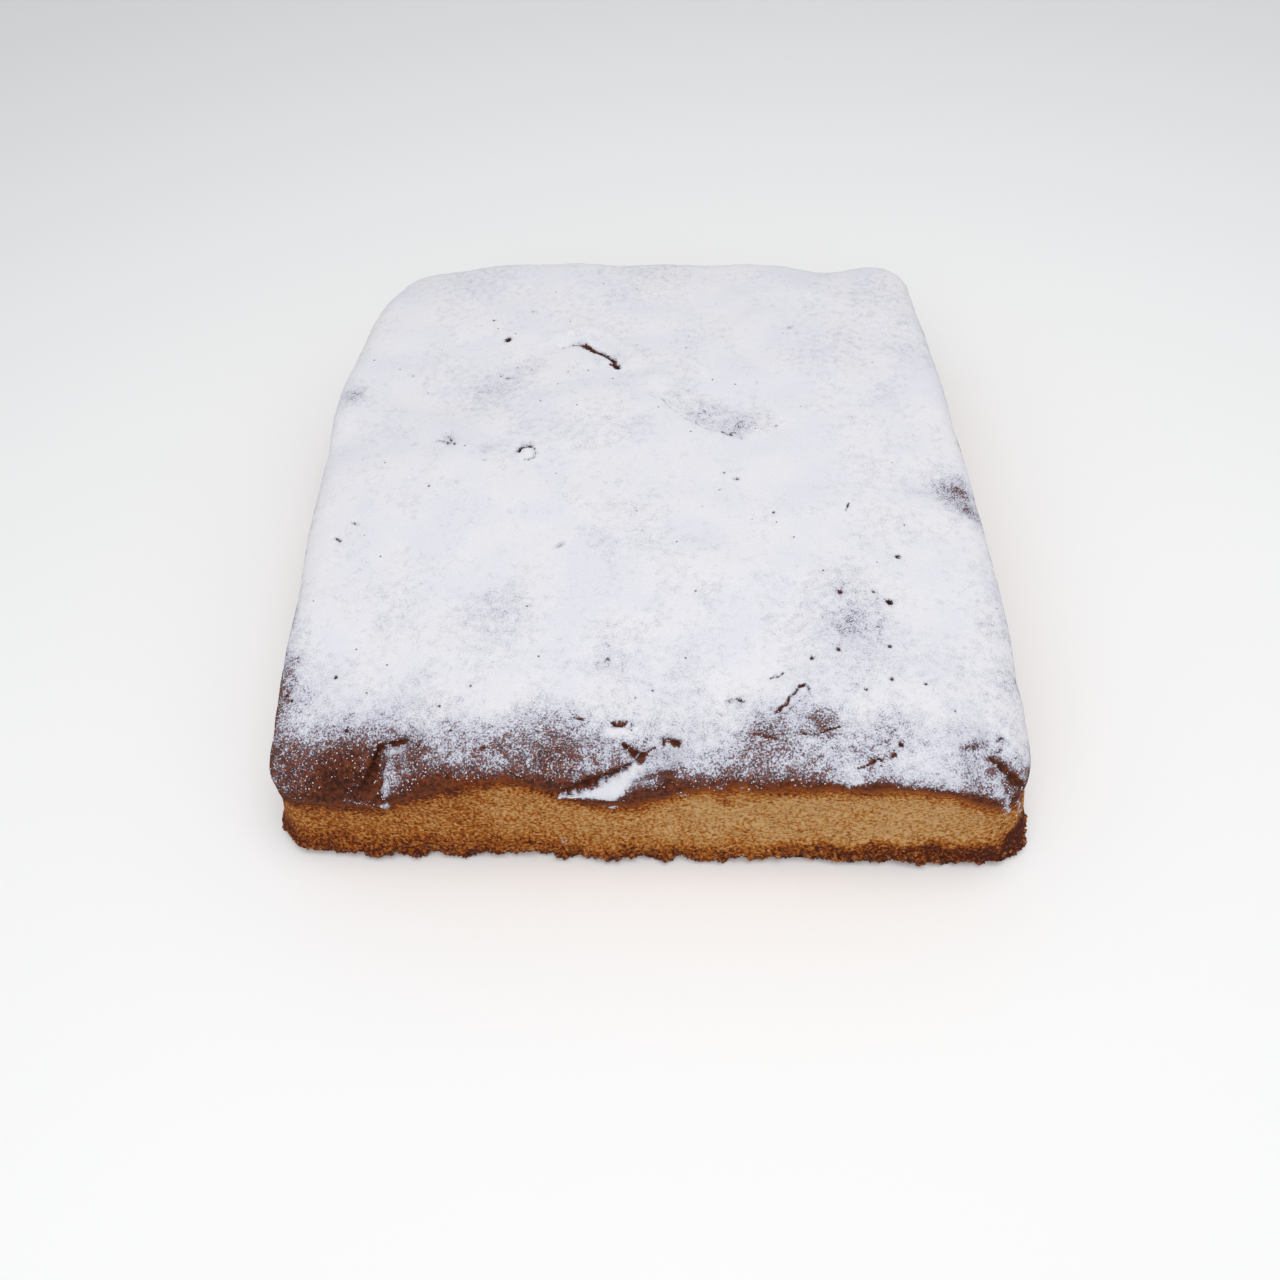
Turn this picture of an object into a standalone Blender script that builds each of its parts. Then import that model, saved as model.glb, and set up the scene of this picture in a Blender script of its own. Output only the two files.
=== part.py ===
"""Rectangular yogurt sponge cake, turned out of its tin, as one closed solid.

The top is a grid drawn in to the tin's rounded outline and raised by a height rule. Rings extruded
from its border make the soft shoulder, the pan-baked walls and the rounded foot, and a fan of faces
closes the flat base. Metres, +Z up, the front wall faces -Y, the origin is in the middle of the base.
"""

import math
from dataclasses import dataclass

import bmesh
import bpy
import numpy as np
from mathutils import Vector, noise

# Driving dimensions.
HALF_WIDTH = 0.1080  # rounded reach to either side, to scale the crown and the wander by
HALF_DEPTH = 0.1198
RIM_HEIGHT = 0.0425  # top of the cake where the shoulder starts
CROWN = 0.0035  # how much higher the middle has risen
SHOULDER_REACH = 0.0085  # how far in from the outline the shoulder starts
SHOULDER_DROP = 0.0060
FOOT_RADIUS = 0.0035  # rounding where the tin's wall met its floor
FLARE = 0.0024  # how much wider the wall is at the foot than at the shoulder
WALL_HOLLOW = 0.0009  # how far the wall shrank back between shoulder and foot

# Reach of the outline to the left and to the right, at depths from -1, front, to 1, back.
LEFT_REACH = ((-1.0, 0.1003), (-0.45, 0.1042), (0.0, 0.1104), (0.42, 0.1122), (1.0, 0.1016))
RIGHT_REACH = ((-1.0, 0.1055), (-0.3, 0.1064), (0.45, 0.1034), (1.0, 0.0990))

# Corner radii of the outline, by the signs of (x, y).
CORNER_RADII = {(-1, -1): 0.0105, (1, -1): 0.0135, (1, 1): 0.0165, (-1, 1): 0.0105}

# How much further the foot reaches to the left, -1, and to the right, 1, at the front corners.
FOOT_SPREAD = {-1: 0.0036, 1: 0.0052}
SPREAD_FADE = 6  # power with which that dies away towards the back
CORNER_FADE = 4  # power with which corners sharpen towards the middle of the grid

# Unevenness: (height in metres, features per metre, seed offset).
SWELL = (0.0022, 17.0, 3.7)
RIPPLE = (0.0009, 62.0, 11.3)
OUTLINE_WANDER = (0.0018, 27.0, 19.1)
WALL_CRAGS = (0.0010, 140.0, 29.5)
FOOT_CRAGS = (0.0016, 170.0, 41.2)
WANDER_FADE = 8  # power with which the outline's wander dies away towards the middle

LIP_OFFSET = 1.7  # distance of a lip's crest from its crease, in crease widths
CRUST_SLOPE = 0.35  # faces that look up more than this carry crust and sugar

# Mesh density.
COLUMNS = 52
ROWS = 56
FRONT_CROWDING = 1.15  # above 1 the rows lie closer together near the front wall
SHOULDER_RINGS = 4
WALL_RINGS = 4
FOOT_RINGS = 3


@dataclass(frozen=True)
class Dent:
    """A soft hollow, or a swelling where depth is negative."""

    x: float
    y: float
    reach_x: float
    reach_y: float
    depth: float

    def height(self, x, y):
        across = (x - self.x) / self.reach_x
        along = (y - self.y) / self.reach_y
        return -self.depth * math.exp(-across * across - along * along)


@dataclass(frozen=True)
class Crease:
    """A groove along a bent line, with a raised lip on its left as the line runs."""

    line: tuple
    width: float
    depth: float
    lip: float = 0.0

    def height(self, x, y):
        away, side = self.nearest(x, y)
        groove = math.exp(-((away / self.width) ** 2))
        lip = math.exp(-((side * away / self.width - LIP_OFFSET) ** 2)) if side > 0 else 0.0
        return self.lip * lip - self.depth * groove

    def nearest(self, x, y):
        """Distance to the line, and 1 on its left or -1 on its right."""
        best, side = 1.0, 1
        for (ax, ay), (bx, by) in zip(self.line, self.line[1:]):
            run_x, run_y = bx - ax, by - ay
            share = ((x - ax) * run_x + (y - ay) * run_y) / (run_x * run_x + run_y * run_y)
            share = min(1.0, max(0.0, share))
            off_x, off_y = x - ax - share * run_x, y - ay - share * run_y
            away = math.hypot(off_x, off_y)
            if away < best:
                best = away
                side = 1 if run_x * off_y - run_y * off_x > 0 else -1
        return best, side


@dataclass(frozen=True)
class Ring:
    """One ring of the side: z is level of the way up the straight wall, plus rise."""

    inset: float
    level: float
    rise: float
    crags: tuple | None = None


DENTS = (
    Dent(-0.098, -0.126, 0.038, 0.028, 0.0095),  # front left corner, where the batter sank
    Dent(-0.074, -0.121, 0.013, 0.007, 0.0035),  # dark hollow beside the hooked crease
    Dent(-0.052, -0.117, 0.012, 0.008, 0.0022),
    Dent(-0.030, -0.116, 0.016, 0.010, -0.0012),  # crust puffed up behind the front wall
    Dent(0.107, -0.121, 0.020, 0.020, 0.0075),  # front right corner
    Dent(0.112, -0.084, 0.009, 0.007, 0.0020),  # notch in the right rim
    Dent(0.001, -0.107, 0.012, 0.005, 0.0020),
    Dent(0.056, -0.100, 0.011, 0.005, 0.0018),
    Dent(0.046, -0.092, 0.007, 0.004, -0.0012),
    Dent(0.101, -0.014, 0.012, 0.010, 0.0022),
    Dent(0.068, 0.118, 0.018, 0.014, 0.0032),  # dip in the back rim
    Dent(-0.100, 0.118, 0.020, 0.016, 0.0018),
    Dent(-0.040, 0.108, 0.050, 0.034, -0.0026),  # the back left rose highest
    Dent(-0.104, 0.012, 0.008, 0.010, 0.0022),
    Dent(-0.005, 0.020, 0.030, 0.022, -0.0014),
    Dent(0.030, 0.024, 0.020, 0.014, 0.0014),
    Dent(-0.055, 0.040, 0.040, 0.025, 0.0012),
)

CREASES = (
    # Hooked fold in the crust at the front left.
    Crease(
        line=((-0.063, -0.126), (-0.069, -0.1155), (-0.0655, -0.1095), (-0.058, -0.1075)),
        width=0.0032,
        depth=0.0034,
        lip=0.0014,
    ),
    # Long fold that runs out over the front rim.
    Crease(
        line=((-0.015, -0.1290), (-0.009, -0.1205), (0.000, -0.1155), (0.0095, -0.1115)),
        width=0.0042,
        depth=0.0052,
        lip=0.0016,
    ),
    # Two wrinkles that run out over the front right corner.
    Crease(
        line=((0.0940, -0.1040), (0.0940, -0.1090), (0.1060, -0.1270)),
        width=0.0030,
        depth=0.0018,
        lip=0.0006,
    ),
    Crease(line=((0.0880, -0.1110), (0.0970, -0.1300)), width=0.0032, depth=0.0016, lip=0.0006),
    # Low step across the middle of the top.
    Crease(line=((0.002, 0.034), (0.016, 0.021), (0.031, 0.012)), width=0.0030, depth=0.0010, lip=0.0006),
    # Split over the back half.
    Crease(
        line=((-0.033, 0.0615), (-0.023, 0.0645), (-0.017, 0.0600), (-0.010, 0.0520)),
        width=0.0026,
        depth=0.0016,
        lip=0.0010,
    ),
)


def reach_curve(knots):
    """The smooth curve through the knots of an outline."""
    places, reaches = zip(*knots)
    return np.polynomial.Polynomial.fit(places, reaches, len(knots) - 1)


LEFT_CURVE = reach_curve(LEFT_REACH)
RIGHT_CURVE = reach_curve(RIGHT_REACH)


def unevenness(x, y, z, rule):
    """Smooth noise of the given height and fineness at a point."""
    height, per_metre, seed = rule
    return height * noise.noise(Vector((x * per_metre + seed, y * per_metre - seed, z * per_metre)))


def top_height(x, y):
    """Height of the top surface over the base."""
    across, along = x / HALF_WIDTH, y / HALF_DEPTH
    crown = CROWN * max(0.0, 1 - across * across) * max(0.0, 1 - along * along)
    relief = sum(feature.height(x, y) for feature in DENTS + CREASES)
    return RIM_HEIGHT + crown + unevenness(x, y, 0, SWELL) + unevenness(x, y, 0, RIPPLE) + relief


def half_width(u, v, down):
    """Reach of the outline on the side of u, at depth v from -1, front, to 1, back."""
    spread = FOOT_SPREAD[-1 if u < 0 else 1] * down * ((1 - v) / 2) ** SPREAD_FADE
    return float(LEFT_CURVE(v) if u < 0 else RIGHT_CURVE(v)) + spread


def corner_radius(u, v):
    """Radius of the outline's corner in the quarter that (u, v) lies in."""
    return CORNER_RADII[(-1 if u < 0 else 1, -1 if v < 0 else 1)]


def plan_point(u, v, inset, down=0.0):
    """Plan position of (u, v) on the outline drawn in by inset, at the share down of the wall."""
    share = max(abs(u), abs(v))
    if share == 0:
        return 0.0, 0.0
    half_x = share * (half_width(u, v, down) - inset)
    half_y = share * (HALF_DEPTH - inset)
    radius = (corner_radius(u, v) - inset) * share**CORNER_FADE
    x, y = abs(u) / share * half_x, abs(v) / share * half_y
    past_x, past_y = x - half_x + radius, y - half_y + radius
    if past_x > 0 and past_y > 0:
        pull = radius / math.hypot(past_x, past_y)
        x, y = half_x - radius + past_x * pull, half_y - radius + past_y * pull
    wander = unevenness(u * HALF_WIDTH, v * HALF_DEPTH, 0, OUTLINE_WANDER) / HALF_WIDTH
    scale = 1 + wander * share**WANDER_FADE
    return math.copysign(x, u) * scale, math.copysign(y, v) * scale


def side_rings():
    """The rings of the side, from the shoulder down to the base."""
    rings = []
    for step in range(1, SHOULDER_RINGS + 1):
        turn = math.pi / 2 * step / SHOULDER_RINGS
        rings.append(Ring(SHOULDER_REACH * (1 - math.sin(turn)), 1, SHOULDER_DROP * math.cos(turn)))
    for step in range(1, WALL_RINGS + 1):
        share = step / WALL_RINGS
        inset = WALL_HOLLOW * math.sin(math.pi * share) - FLARE * share**2
        rings.append(Ring(inset, 1 - share, 0, WALL_CRAGS))
    for step in range(1, FOOT_RINGS + 1):
        turn = math.pi / 2 * step / FOOT_RINGS
        inset = FOOT_RADIUS * (1 - math.cos(turn)) - FLARE
        rings.append(Ring(inset, 0, -FOOT_RADIUS * math.sin(turn), FOOT_CRAGS))
    return rings


def side_point(u, v, ring):
    """Place of grid border point (u, v) on one ring of the side."""
    x, y = plan_point(u, v, ring.inset, 1 - ring.level)
    wall_top = top_height(x, y) - SHOULDER_DROP
    z = FOOT_RADIUS + (wall_top - FOOT_RADIUS) * ring.level + ring.rise
    push = unevenness(x, y, z, ring.crags) if ring.crags else 0.0
    outward = Vector((x, y)).normalized()
    return x + outward.x * push, y + outward.y * push, z


def crowd_to_front(v):
    """Moves rows towards the front, so that its creases get more of them."""
    return 2 * ((v + 1) / 2) ** FRONT_CROWDING - 1


def make_top(mesh):
    """The top as a grid. Each vertex keeps its grid place in two layers, which extruding copies."""
    layer_u = mesh.verts.layers.float.new("u")
    layer_v = mesh.verts.layers.float.new("v")
    bmesh.ops.create_grid(mesh, x_segments=COLUMNS, y_segments=ROWS, size=1.0)
    for vert in mesh.verts:
        vert[layer_u], vert[layer_v] = vert.co.x, crowd_to_front(vert.co.y)
        x, y = plan_point(vert[layer_u], vert[layer_v], SHOULDER_REACH)
        vert.co = x, y, top_height(x, y)
    return layer_u, layer_v


def extrude_side(mesh, layer_u, layer_v):
    """Extrudes the border ring by ring down to the base and closes it with a fan."""
    border = [edge for edge in mesh.edges if edge.is_boundary]
    for ring in side_rings():
        made = bmesh.ops.extrude_edge_only(mesh, edges=border)["geom"]
        for vert in (item for item in made if isinstance(item, bmesh.types.BMVert)):
            vert.co = side_point(vert[layer_u], vert[layer_v], ring)
        border = [item for item in made if isinstance(item, bmesh.types.BMEdge) and item.is_boundary]
    base = bmesh.ops.contextual_create(mesh, geom=border)["faces"]
    bmesh.ops.poke(mesh, faces=base)


def stand_centred(mesh):
    """Moves the shape so that the middle of its box's underside is the origin."""
    xs = [vert.co.x for vert in mesh.verts]
    ys = [vert.co.y for vert in mesh.verts]
    offset = Vector(((min(xs) + max(xs)) / 2, (min(ys) + max(ys)) / 2, 0))
    bmesh.ops.translate(mesh, vec=-offset, verts=mesh.verts)


def make_material(name, colour, roughness):
    """A plain Principled material, with its colour in linear values."""
    material = bpy.data.materials.new(name)
    material.use_nodes = True
    shader = material.node_tree.nodes["Principled BSDF"]
    shader.inputs["Base Color"].default_value = (*colour, 1)
    shader.inputs["Roughness"].default_value = roughness
    shader.inputs["Metallic"].default_value = 0
    return material


def make_cake(collection):
    """The whole cake: sugared crust above the shoulder, golden crumb below it."""
    mesh = bmesh.new()
    layer_u, layer_v = make_top(mesh)
    extrude_side(mesh, layer_u, layer_v)
    bmesh.ops.recalc_face_normals(mesh, faces=mesh.faces)
    for face in mesh.faces:
        face.material_index = 0 if face.normal.z > CRUST_SLOPE else 1
    stand_centred(mesh)
    data = bpy.data.meshes.new("yogurt_cake")
    mesh.to_mesh(data)
    mesh.free()
    data.materials.append(make_material("dusted_crust", (0.76, 0.75, 0.80), 0.9))
    data.materials.append(make_material("golden_crumb", (0.36, 0.19, 0.07), 0.85))
    data.shade_smooth()
    data.set_sharp_from_angle(angle=math.radians(60))
    collection.objects.link(bpy.data.objects.new("yogurt_cake", data))


def main():
    for item in list(bpy.data.objects):
        bpy.data.objects.remove(item)
    collection = bpy.data.collections.new("yogurt_cake_parts")
    bpy.context.scene.collection.children.link(collection)
    make_cake(collection)


main()
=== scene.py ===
"""Looks of a rectangular yogurt sponge cake under powdered sugar.

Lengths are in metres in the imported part's frame: +Z up, the front wall faces -Y. Marks on the skin,
such as cracks and drifts of sugar, are small, so their places and widths are written in millimetres.
"""

import logging
import math
from dataclasses import dataclass
from enum import Enum

import bmesh
import bpy
import numpy as np
from mathutils import Matrix, Vector, noise

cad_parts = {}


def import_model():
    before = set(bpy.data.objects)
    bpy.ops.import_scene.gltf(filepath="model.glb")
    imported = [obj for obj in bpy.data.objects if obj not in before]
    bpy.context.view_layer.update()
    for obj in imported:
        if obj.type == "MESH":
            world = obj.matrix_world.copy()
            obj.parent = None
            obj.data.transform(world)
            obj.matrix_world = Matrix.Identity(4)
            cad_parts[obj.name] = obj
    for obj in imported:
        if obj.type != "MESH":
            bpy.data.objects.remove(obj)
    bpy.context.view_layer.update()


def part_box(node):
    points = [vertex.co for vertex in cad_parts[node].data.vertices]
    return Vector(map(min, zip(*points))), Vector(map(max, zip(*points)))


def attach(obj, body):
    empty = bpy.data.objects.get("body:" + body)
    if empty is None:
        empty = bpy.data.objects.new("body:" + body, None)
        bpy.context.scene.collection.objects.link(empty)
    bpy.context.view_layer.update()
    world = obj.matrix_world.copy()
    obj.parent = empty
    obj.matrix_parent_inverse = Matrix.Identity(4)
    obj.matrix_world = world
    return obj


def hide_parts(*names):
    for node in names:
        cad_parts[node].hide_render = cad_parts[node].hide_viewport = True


LOG = logging.getLogger("yogurt_cake")
NODE = "yogurt_cake"
BODY = "root"
MM = 0.001
TINY = 1e-9  # keeps a division away from zero
ROUNDING = 1e-6  # slack of a profile number
HALF_WAY = 0.5  # between two numbers of the profile
STEP_SHARPNESS = 0.5  # mm over which a step climbs

Colour = tuple[float, float, float]
Place = tuple[float, float, float]
Band = tuple[float, float]
Grid = tuple[np.ndarray, np.ndarray, np.ndarray]
Input = object
Inputs = dict[int | str, Input]
Socket = bpy.types.NodeSocket
Tree = bpy.types.NodeTree
Thing = bpy.types.Object


class Region(Enum):
    """Stretches of the skin, by where their profile number ends."""

    TOP = 0
    SHOULDER = 1
    WALL = 2
    FOOT = 3
    BASE = 4


def smooth(low: float | np.ndarray, high: float | np.ndarray, value: np.ndarray) -> np.ndarray:
    """Soft step from 0 where value is at low to 1 where it is at high.

    Args:
        low: Where the step starts.
        high: Where it ends, which may be the smaller number.
        value: What is stepped.

    Returns:
        The step, one number for each value.
    """
    share = np.clip((value - low) / (high - low), 0.0, 1.0)
    return share * share * (3 - 2 * share)


@dataclass(frozen=True)
class Unevenness:
    """Smooth noise with a height, a fineness and an offset that serves as its seed."""

    height: float
    per_metre: float
    seed: float
    octaves: int = 1

    def at(self, x: np.ndarray, y: np.ndarray, z: np.ndarray) -> np.ndarray:
        """The noise at places.

        Args:
            x: The places' first coordinates.
            y: Their second.
            z: Their third.

        Returns:
            One height for each place.
        """
        total = np.zeros(len(x))
        for octave in range(self.octaves):
            fine = self.per_metre * 2**octave
            spots = zip(x * fine + self.seed, y * fine - self.seed, z * fine)
            total += np.array([noise.noise(spot) for spot in spots]) / 2**octave
        return self.height * total


@dataclass(frozen=True)
class Dent:
    """A soft hollow in the top, or a swelling where depth is negative."""

    x: float
    y: float
    reach_x: float
    reach_y: float
    depth: float

    def relief(self, x: np.ndarray, y: np.ndarray) -> np.ndarray:
        """Change of height that the dent makes at plan places."""
        across, along = (x - self.x) / self.reach_x, (y - self.y) / self.reach_y
        return -self.depth * np.exp(-across * across - along * along)


@dataclass(frozen=True)
class Crease:
    """A groove in plan along a bent line, with a raised lip on its left as the line runs."""

    line: tuple[Band, ...]
    width: float
    depth: float
    lip: float = 0.0
    lip_offset: float = 1.7

    def relief(self, x: np.ndarray, y: np.ndarray) -> np.ndarray:
        """Change of height that the crease makes at plan places."""
        best, side = np.full(len(x), 1.0), np.ones(len(x))
        for (ax, ay), (bx, by) in zip(self.line, self.line[1:]):
            run_x, run_y = bx - ax, by - ay
            share = np.clip(((x - ax) * run_x + (y - ay) * run_y) / (run_x**2 + run_y**2), 0, 1)
            off_x, off_y = x - ax - share * run_x, y - ay - share * run_y
            away = np.hypot(off_x, off_y)
            side = np.where(away < best, run_x * off_y - run_y * off_x, side)
            best = np.minimum(best, away)
        groove = np.exp(-((best / self.width) ** 2))
        lip = np.where(side > 0, np.exp(-((best / self.width - self.lip_offset) ** 2)), 0.0)
        return self.lip * lip - self.depth * groove


@dataclass(frozen=True)
class Mark:
    """A round-ended stroke along a bent line on the skin, in millimetres.

    Its width may change from the first point to the last. A mark of one point is a round spot.
    depth sinks the skin, or raises it where negative. step lifts the left side and lowers the right.
    """

    line: tuple[Place, ...]
    width: float
    width_end: float
    depth: float = 0.0
    bare: float = 0.0
    # Painted shade laid along the mark, from 0 to 1.
    painted_shade: float = 0.0
    step: float = 0.0
    step_reach: float = 4.0
    sugar: float = 0.0

    def nearest(self, places: np.ndarray) -> tuple[np.ndarray, np.ndarray, np.ndarray, np.ndarray]:
        """Where places lie along and beside the line.

        Args:
            places: Places on the skin in metres, one a row.

        Returns:
            Distance in mm, share of the line passed, offset from the line in mm, and its direction.
        """
        spots = np.array(self.line, dtype=float)
        if len(spots) == 1:
            off = places / MM - spots[0]
            return np.linalg.norm(off, axis=1), np.zeros(len(off)), off, np.zeros_like(off)
        lengths = np.linalg.norm(np.diff(spots, axis=0), axis=1)
        passed = np.concatenate(([0.0], np.cumsum(lengths))) / lengths.sum()
        best = np.full(len(places), np.inf)
        along = np.zeros(len(places))
        offset, heading = np.zeros((2, len(places), 3))
        for index, run in enumerate(np.diff(spots, axis=0)):
            from_start = places / MM - spots[index]
            share = np.clip(from_start @ run / (run @ run), 0, 1)
            off = from_start - share[:, None] * run
            away = np.linalg.norm(off, axis=1)
            nearer = away < best
            best = np.where(nearer, away, best)
            along = np.where(nearer, passed[index] + share * (passed[index + 1] - passed[index]), along)
            offset = np.where(nearer[:, None], off, offset)
            heading = np.where(nearer[:, None], run / np.linalg.norm(run), heading)
        return best, along, offset, heading

    def weight(self, places: np.ndarray, spread: float = 1.0) -> np.ndarray:
        """How strongly the stroke covers places, from 1 on its line to 0 far away."""
        away, along, _, _ = self.nearest(places)
        width = self.width + (self.width_end - self.width) * along
        return np.exp(-((away / (spread * width)) ** 2))

    def relief(self, places: np.ndarray, normals: np.ndarray) -> np.ndarray:
        """How far the stroke moves the skin along its normals, in metres."""
        moved = -self.depth * self.weight(places)
        if self.step:
            _, along, offset, heading = self.nearest(places)
            left = np.einsum("ij,ij->i", offset, np.cross(normals, heading))
            taper = np.sin(math.pi * np.clip(along, 0, 1)) ** 0.5
            climb = self.step * taper * np.tanh(left / STEP_SHARPNESS)
            moved += climb * np.exp(-((np.abs(left) / self.step_reach) ** 2))
        return moved * MM



@dataclass(frozen=True)
class CakeForm:
    """The smooth form of the cake, as its solid has it, over grid places u, v and a profile number s.

    s is 0 on the top, and runs to 1 over the shoulder, 2 down the wall, 3 round the foot and 4 in to
    the middle of the base.
    """

    half_width: float = 0.1080
    half_depth: float = 0.1198
    rim_height: float = 0.0425
    crown: float = 0.0035
    shoulder_reach: float = 0.0085
    shoulder_drop: float = 0.0060
    foot_radius: float = 0.0035
    flare: float = 0.0024
    wall_hollow: float = 0.0009
    left_reach: tuple[Band, ...] = (
        (-1.0, 0.1003), (-0.45, 0.1042), (0.0, 0.1104), (0.42, 0.1122), (1.0, 0.1016),
    )
    right_reach: tuple[Band, ...] = ((-1.0, 0.1055), (-0.3, 0.1064), (0.45, 0.1034), (1.0, 0.0990))
    front_radii: Band = (0.0105, 0.0135)
    back_radii: Band = (0.0105, 0.0165)
    foot_spread: Band = (0.0036, 0.0052)
    spread_fade: int = 6
    corner_fade: int = 4
    wander_fade: int = 8
    craggy_from: Band = (1.0, 1.25)
    foot_from: Band = (1.85, 2.1)
    swell: Unevenness = Unevenness(0.0022, 17.0, 3.7)
    ripple: Unevenness = Unevenness(0.0009, 62.0, 11.3)
    outline_wander: Unevenness = Unevenness(0.0018, 27.0, 19.1)
    wall_crags: Unevenness = Unevenness(0.0010, 140.0, 29.5)
    foot_crags: Unevenness = Unevenness(0.0016, 170.0, 41.2)
    dents: tuple[Dent, ...] = (
        Dent(-0.098, -0.126, 0.038, 0.028, 0.0095),
        Dent(-0.074, -0.121, 0.013, 0.007, 0.0035),
        Dent(-0.052, -0.117, 0.012, 0.008, 0.0022),
        Dent(-0.030, -0.116, 0.016, 0.010, -0.0012),
        Dent(0.107, -0.121, 0.020, 0.020, 0.0075),
        Dent(0.112, -0.084, 0.009, 0.007, 0.0020),
        Dent(0.001, -0.107, 0.012, 0.005, 0.0020),
        Dent(0.056, -0.100, 0.011, 0.005, 0.0018),
        Dent(0.046, -0.092, 0.007, 0.004, -0.0012),
        Dent(0.101, -0.014, 0.012, 0.010, 0.0022),
        Dent(0.068, 0.118, 0.018, 0.014, 0.0032),
        Dent(-0.100, 0.118, 0.020, 0.016, 0.0018),
        Dent(-0.040, 0.108, 0.050, 0.034, -0.0026),
        Dent(-0.104, 0.012, 0.008, 0.010, 0.0022),
        Dent(-0.005, 0.020, 0.030, 0.022, -0.0014),
        Dent(0.030, 0.024, 0.020, 0.014, 0.0014),
        Dent(-0.055, 0.040, 0.040, 0.025, 0.0012),
    )
    creases: tuple[Crease, ...] = (
        Crease(((-0.063, -0.126), (-0.069, -0.1155), (-0.0655, -0.1095), (-0.058, -0.1075)),
               0.0032, 0.0034, 0.0014),
        Crease(((-0.015, -0.1290), (-0.009, -0.1205), (0.000, -0.1155), (0.0095, -0.1115)),
               0.0042, 0.0052, 0.0016),
        Crease(((0.0940, -0.1040), (0.0940, -0.1090), (0.1060, -0.1270)), 0.0030, 0.0018, 0.0006),
        Crease(((0.0880, -0.1110), (0.0970, -0.1300)), 0.0032, 0.0016, 0.0006),
        Crease(((0.002, 0.034), (0.016, 0.021), (0.031, 0.012)), 0.0030, 0.0010, 0.0006),
        Crease(((-0.033, 0.0615), (-0.023, 0.0645), (-0.017, 0.0600), (-0.010, 0.0520)),
               0.0026, 0.0016, 0.0010),
    )

    def top_height(self, x: np.ndarray, y: np.ndarray) -> np.ndarray:
        """Height of the top surface over the base at plan places."""
        across, along = x / self.half_width, y / self.half_depth
        flat = np.zeros(len(x))
        height = self.rim_height + self.crown * np.maximum(0, 1 - across**2) * np.maximum(0, 1 - along**2)
        height += self.swell.at(x, y, flat) + self.ripple.at(x, y, flat)
        return height + sum(feature.relief(x, y) for feature in self.dents + self.creases)

    def plan(self, u: np.ndarray, v: np.ndarray, inset: np.ndarray,
             down: np.ndarray) -> tuple[np.ndarray, np.ndarray]:
        """Plan places of grid places on the outline drawn in by inset.

        Args:
            u: Grid place across, from -1 to 1.
            v: Grid place from front to back, from -1 to 1.
            inset: How far in from the outline the grid's border lies.
            down: Share of the way down the wall, for the wider foot of the front corners.

        Returns:
            The x and y of each.
        """
        curves = [np.polynomial.Polynomial.fit(*zip(*knots), len(knots) - 1)(v)
                  for knots in (self.left_reach, self.right_reach)]
        share = np.maximum(np.maximum(np.abs(u), np.abs(v)), TINY)
        spread = np.where(u < 0, *self.foot_spread) * down * ((1 - v) / 2) ** self.spread_fade
        half_x = share * (np.where(u < 0, *curves) + spread - inset)
        half_y = share * (self.half_depth - inset)
        radius = np.where(v < 0, np.where(u < 0, *self.front_radii), np.where(u < 0, *self.back_radii))
        radius = (radius - inset) * share**self.corner_fade
        x, y = np.abs(u) / share * half_x, np.abs(v) / share * half_y
        past_x, past_y = x - half_x + radius, y - half_y + radius
        cornered = (past_x > 0) & (past_y > 0)
        pull = radius / np.where(cornered, np.hypot(past_x, past_y), 1)
        x = np.where(cornered, half_x - radius + past_x * pull, x)
        y = np.where(cornered, half_y - radius + past_y * pull, y)
        wander = self.outline_wander.at(u * self.half_width, v * self.half_depth, np.zeros(len(u)))
        scale = 1 + wander / self.half_width * share**self.wander_fade
        return np.copysign(x, u) * scale, np.copysign(y, v) * scale

    def places(self, u: np.ndarray, v: np.ndarray, s: np.ndarray) -> np.ndarray:
        """Places on the skin.

        Args:
            u: Grid place across.
            v: Grid place from front to back.
            s: Profile number.

        Returns:
            One place a row.
        """
        bend = np.clip(s, 0, 1) * math.pi / 2
        down = np.clip(s - 1, 0, 1)
        turn = np.clip(s - 2, 0, 1) * math.pi / 2
        inwards = np.clip(s - 3, 0, 1)
        inset = self.shoulder_reach * (1 - np.sin(bend))
        inset += self.wall_hollow * np.sin(math.pi * down) - self.flare * down**2
        inset += self.foot_radius * (1 - np.cos(turn))
        x, y = self.plan(u, v, inset, down)
        wall_top = self.top_height(x, y) - self.shoulder_drop
        z = self.foot_radius + (wall_top - self.foot_radius) * (1 - down)
        z += self.shoulder_drop * np.cos(bend) - self.foot_radius * np.sin(turn)
        low_down = smooth(*self.foot_from, s)
        crags = self.foot_crags.at(x, y, z) * low_down + self.wall_crags.at(x, y, z) * (1 - low_down)
        push = crags * smooth(*self.craggy_from, s)
        length = np.maximum(np.hypot(x, y), TINY)
        x, y = x * (1 + push / length), y * (1 + push / length)
        return np.stack((x * (1 - inwards), y * (1 - inwards), z * (1 - inwards)), axis=1)


def cracks(*rows: tuple) -> tuple[Mark, ...]:
    """Marks from rows of both widths, depth, sugar lost, painted shade, any step with its reach, and the
    line.
    """
    return tuple(Mark(line, *sizes) for *sizes, line in rows)


def heaps(*rows: tuple) -> tuple[Mark, ...]:
    """Marks from rows of width, width at the end, height, sugar and line."""
    return tuple(Mark(line, width, end, -height, sugar=sugar) for width, end, height, sugar, line in rows)
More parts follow.
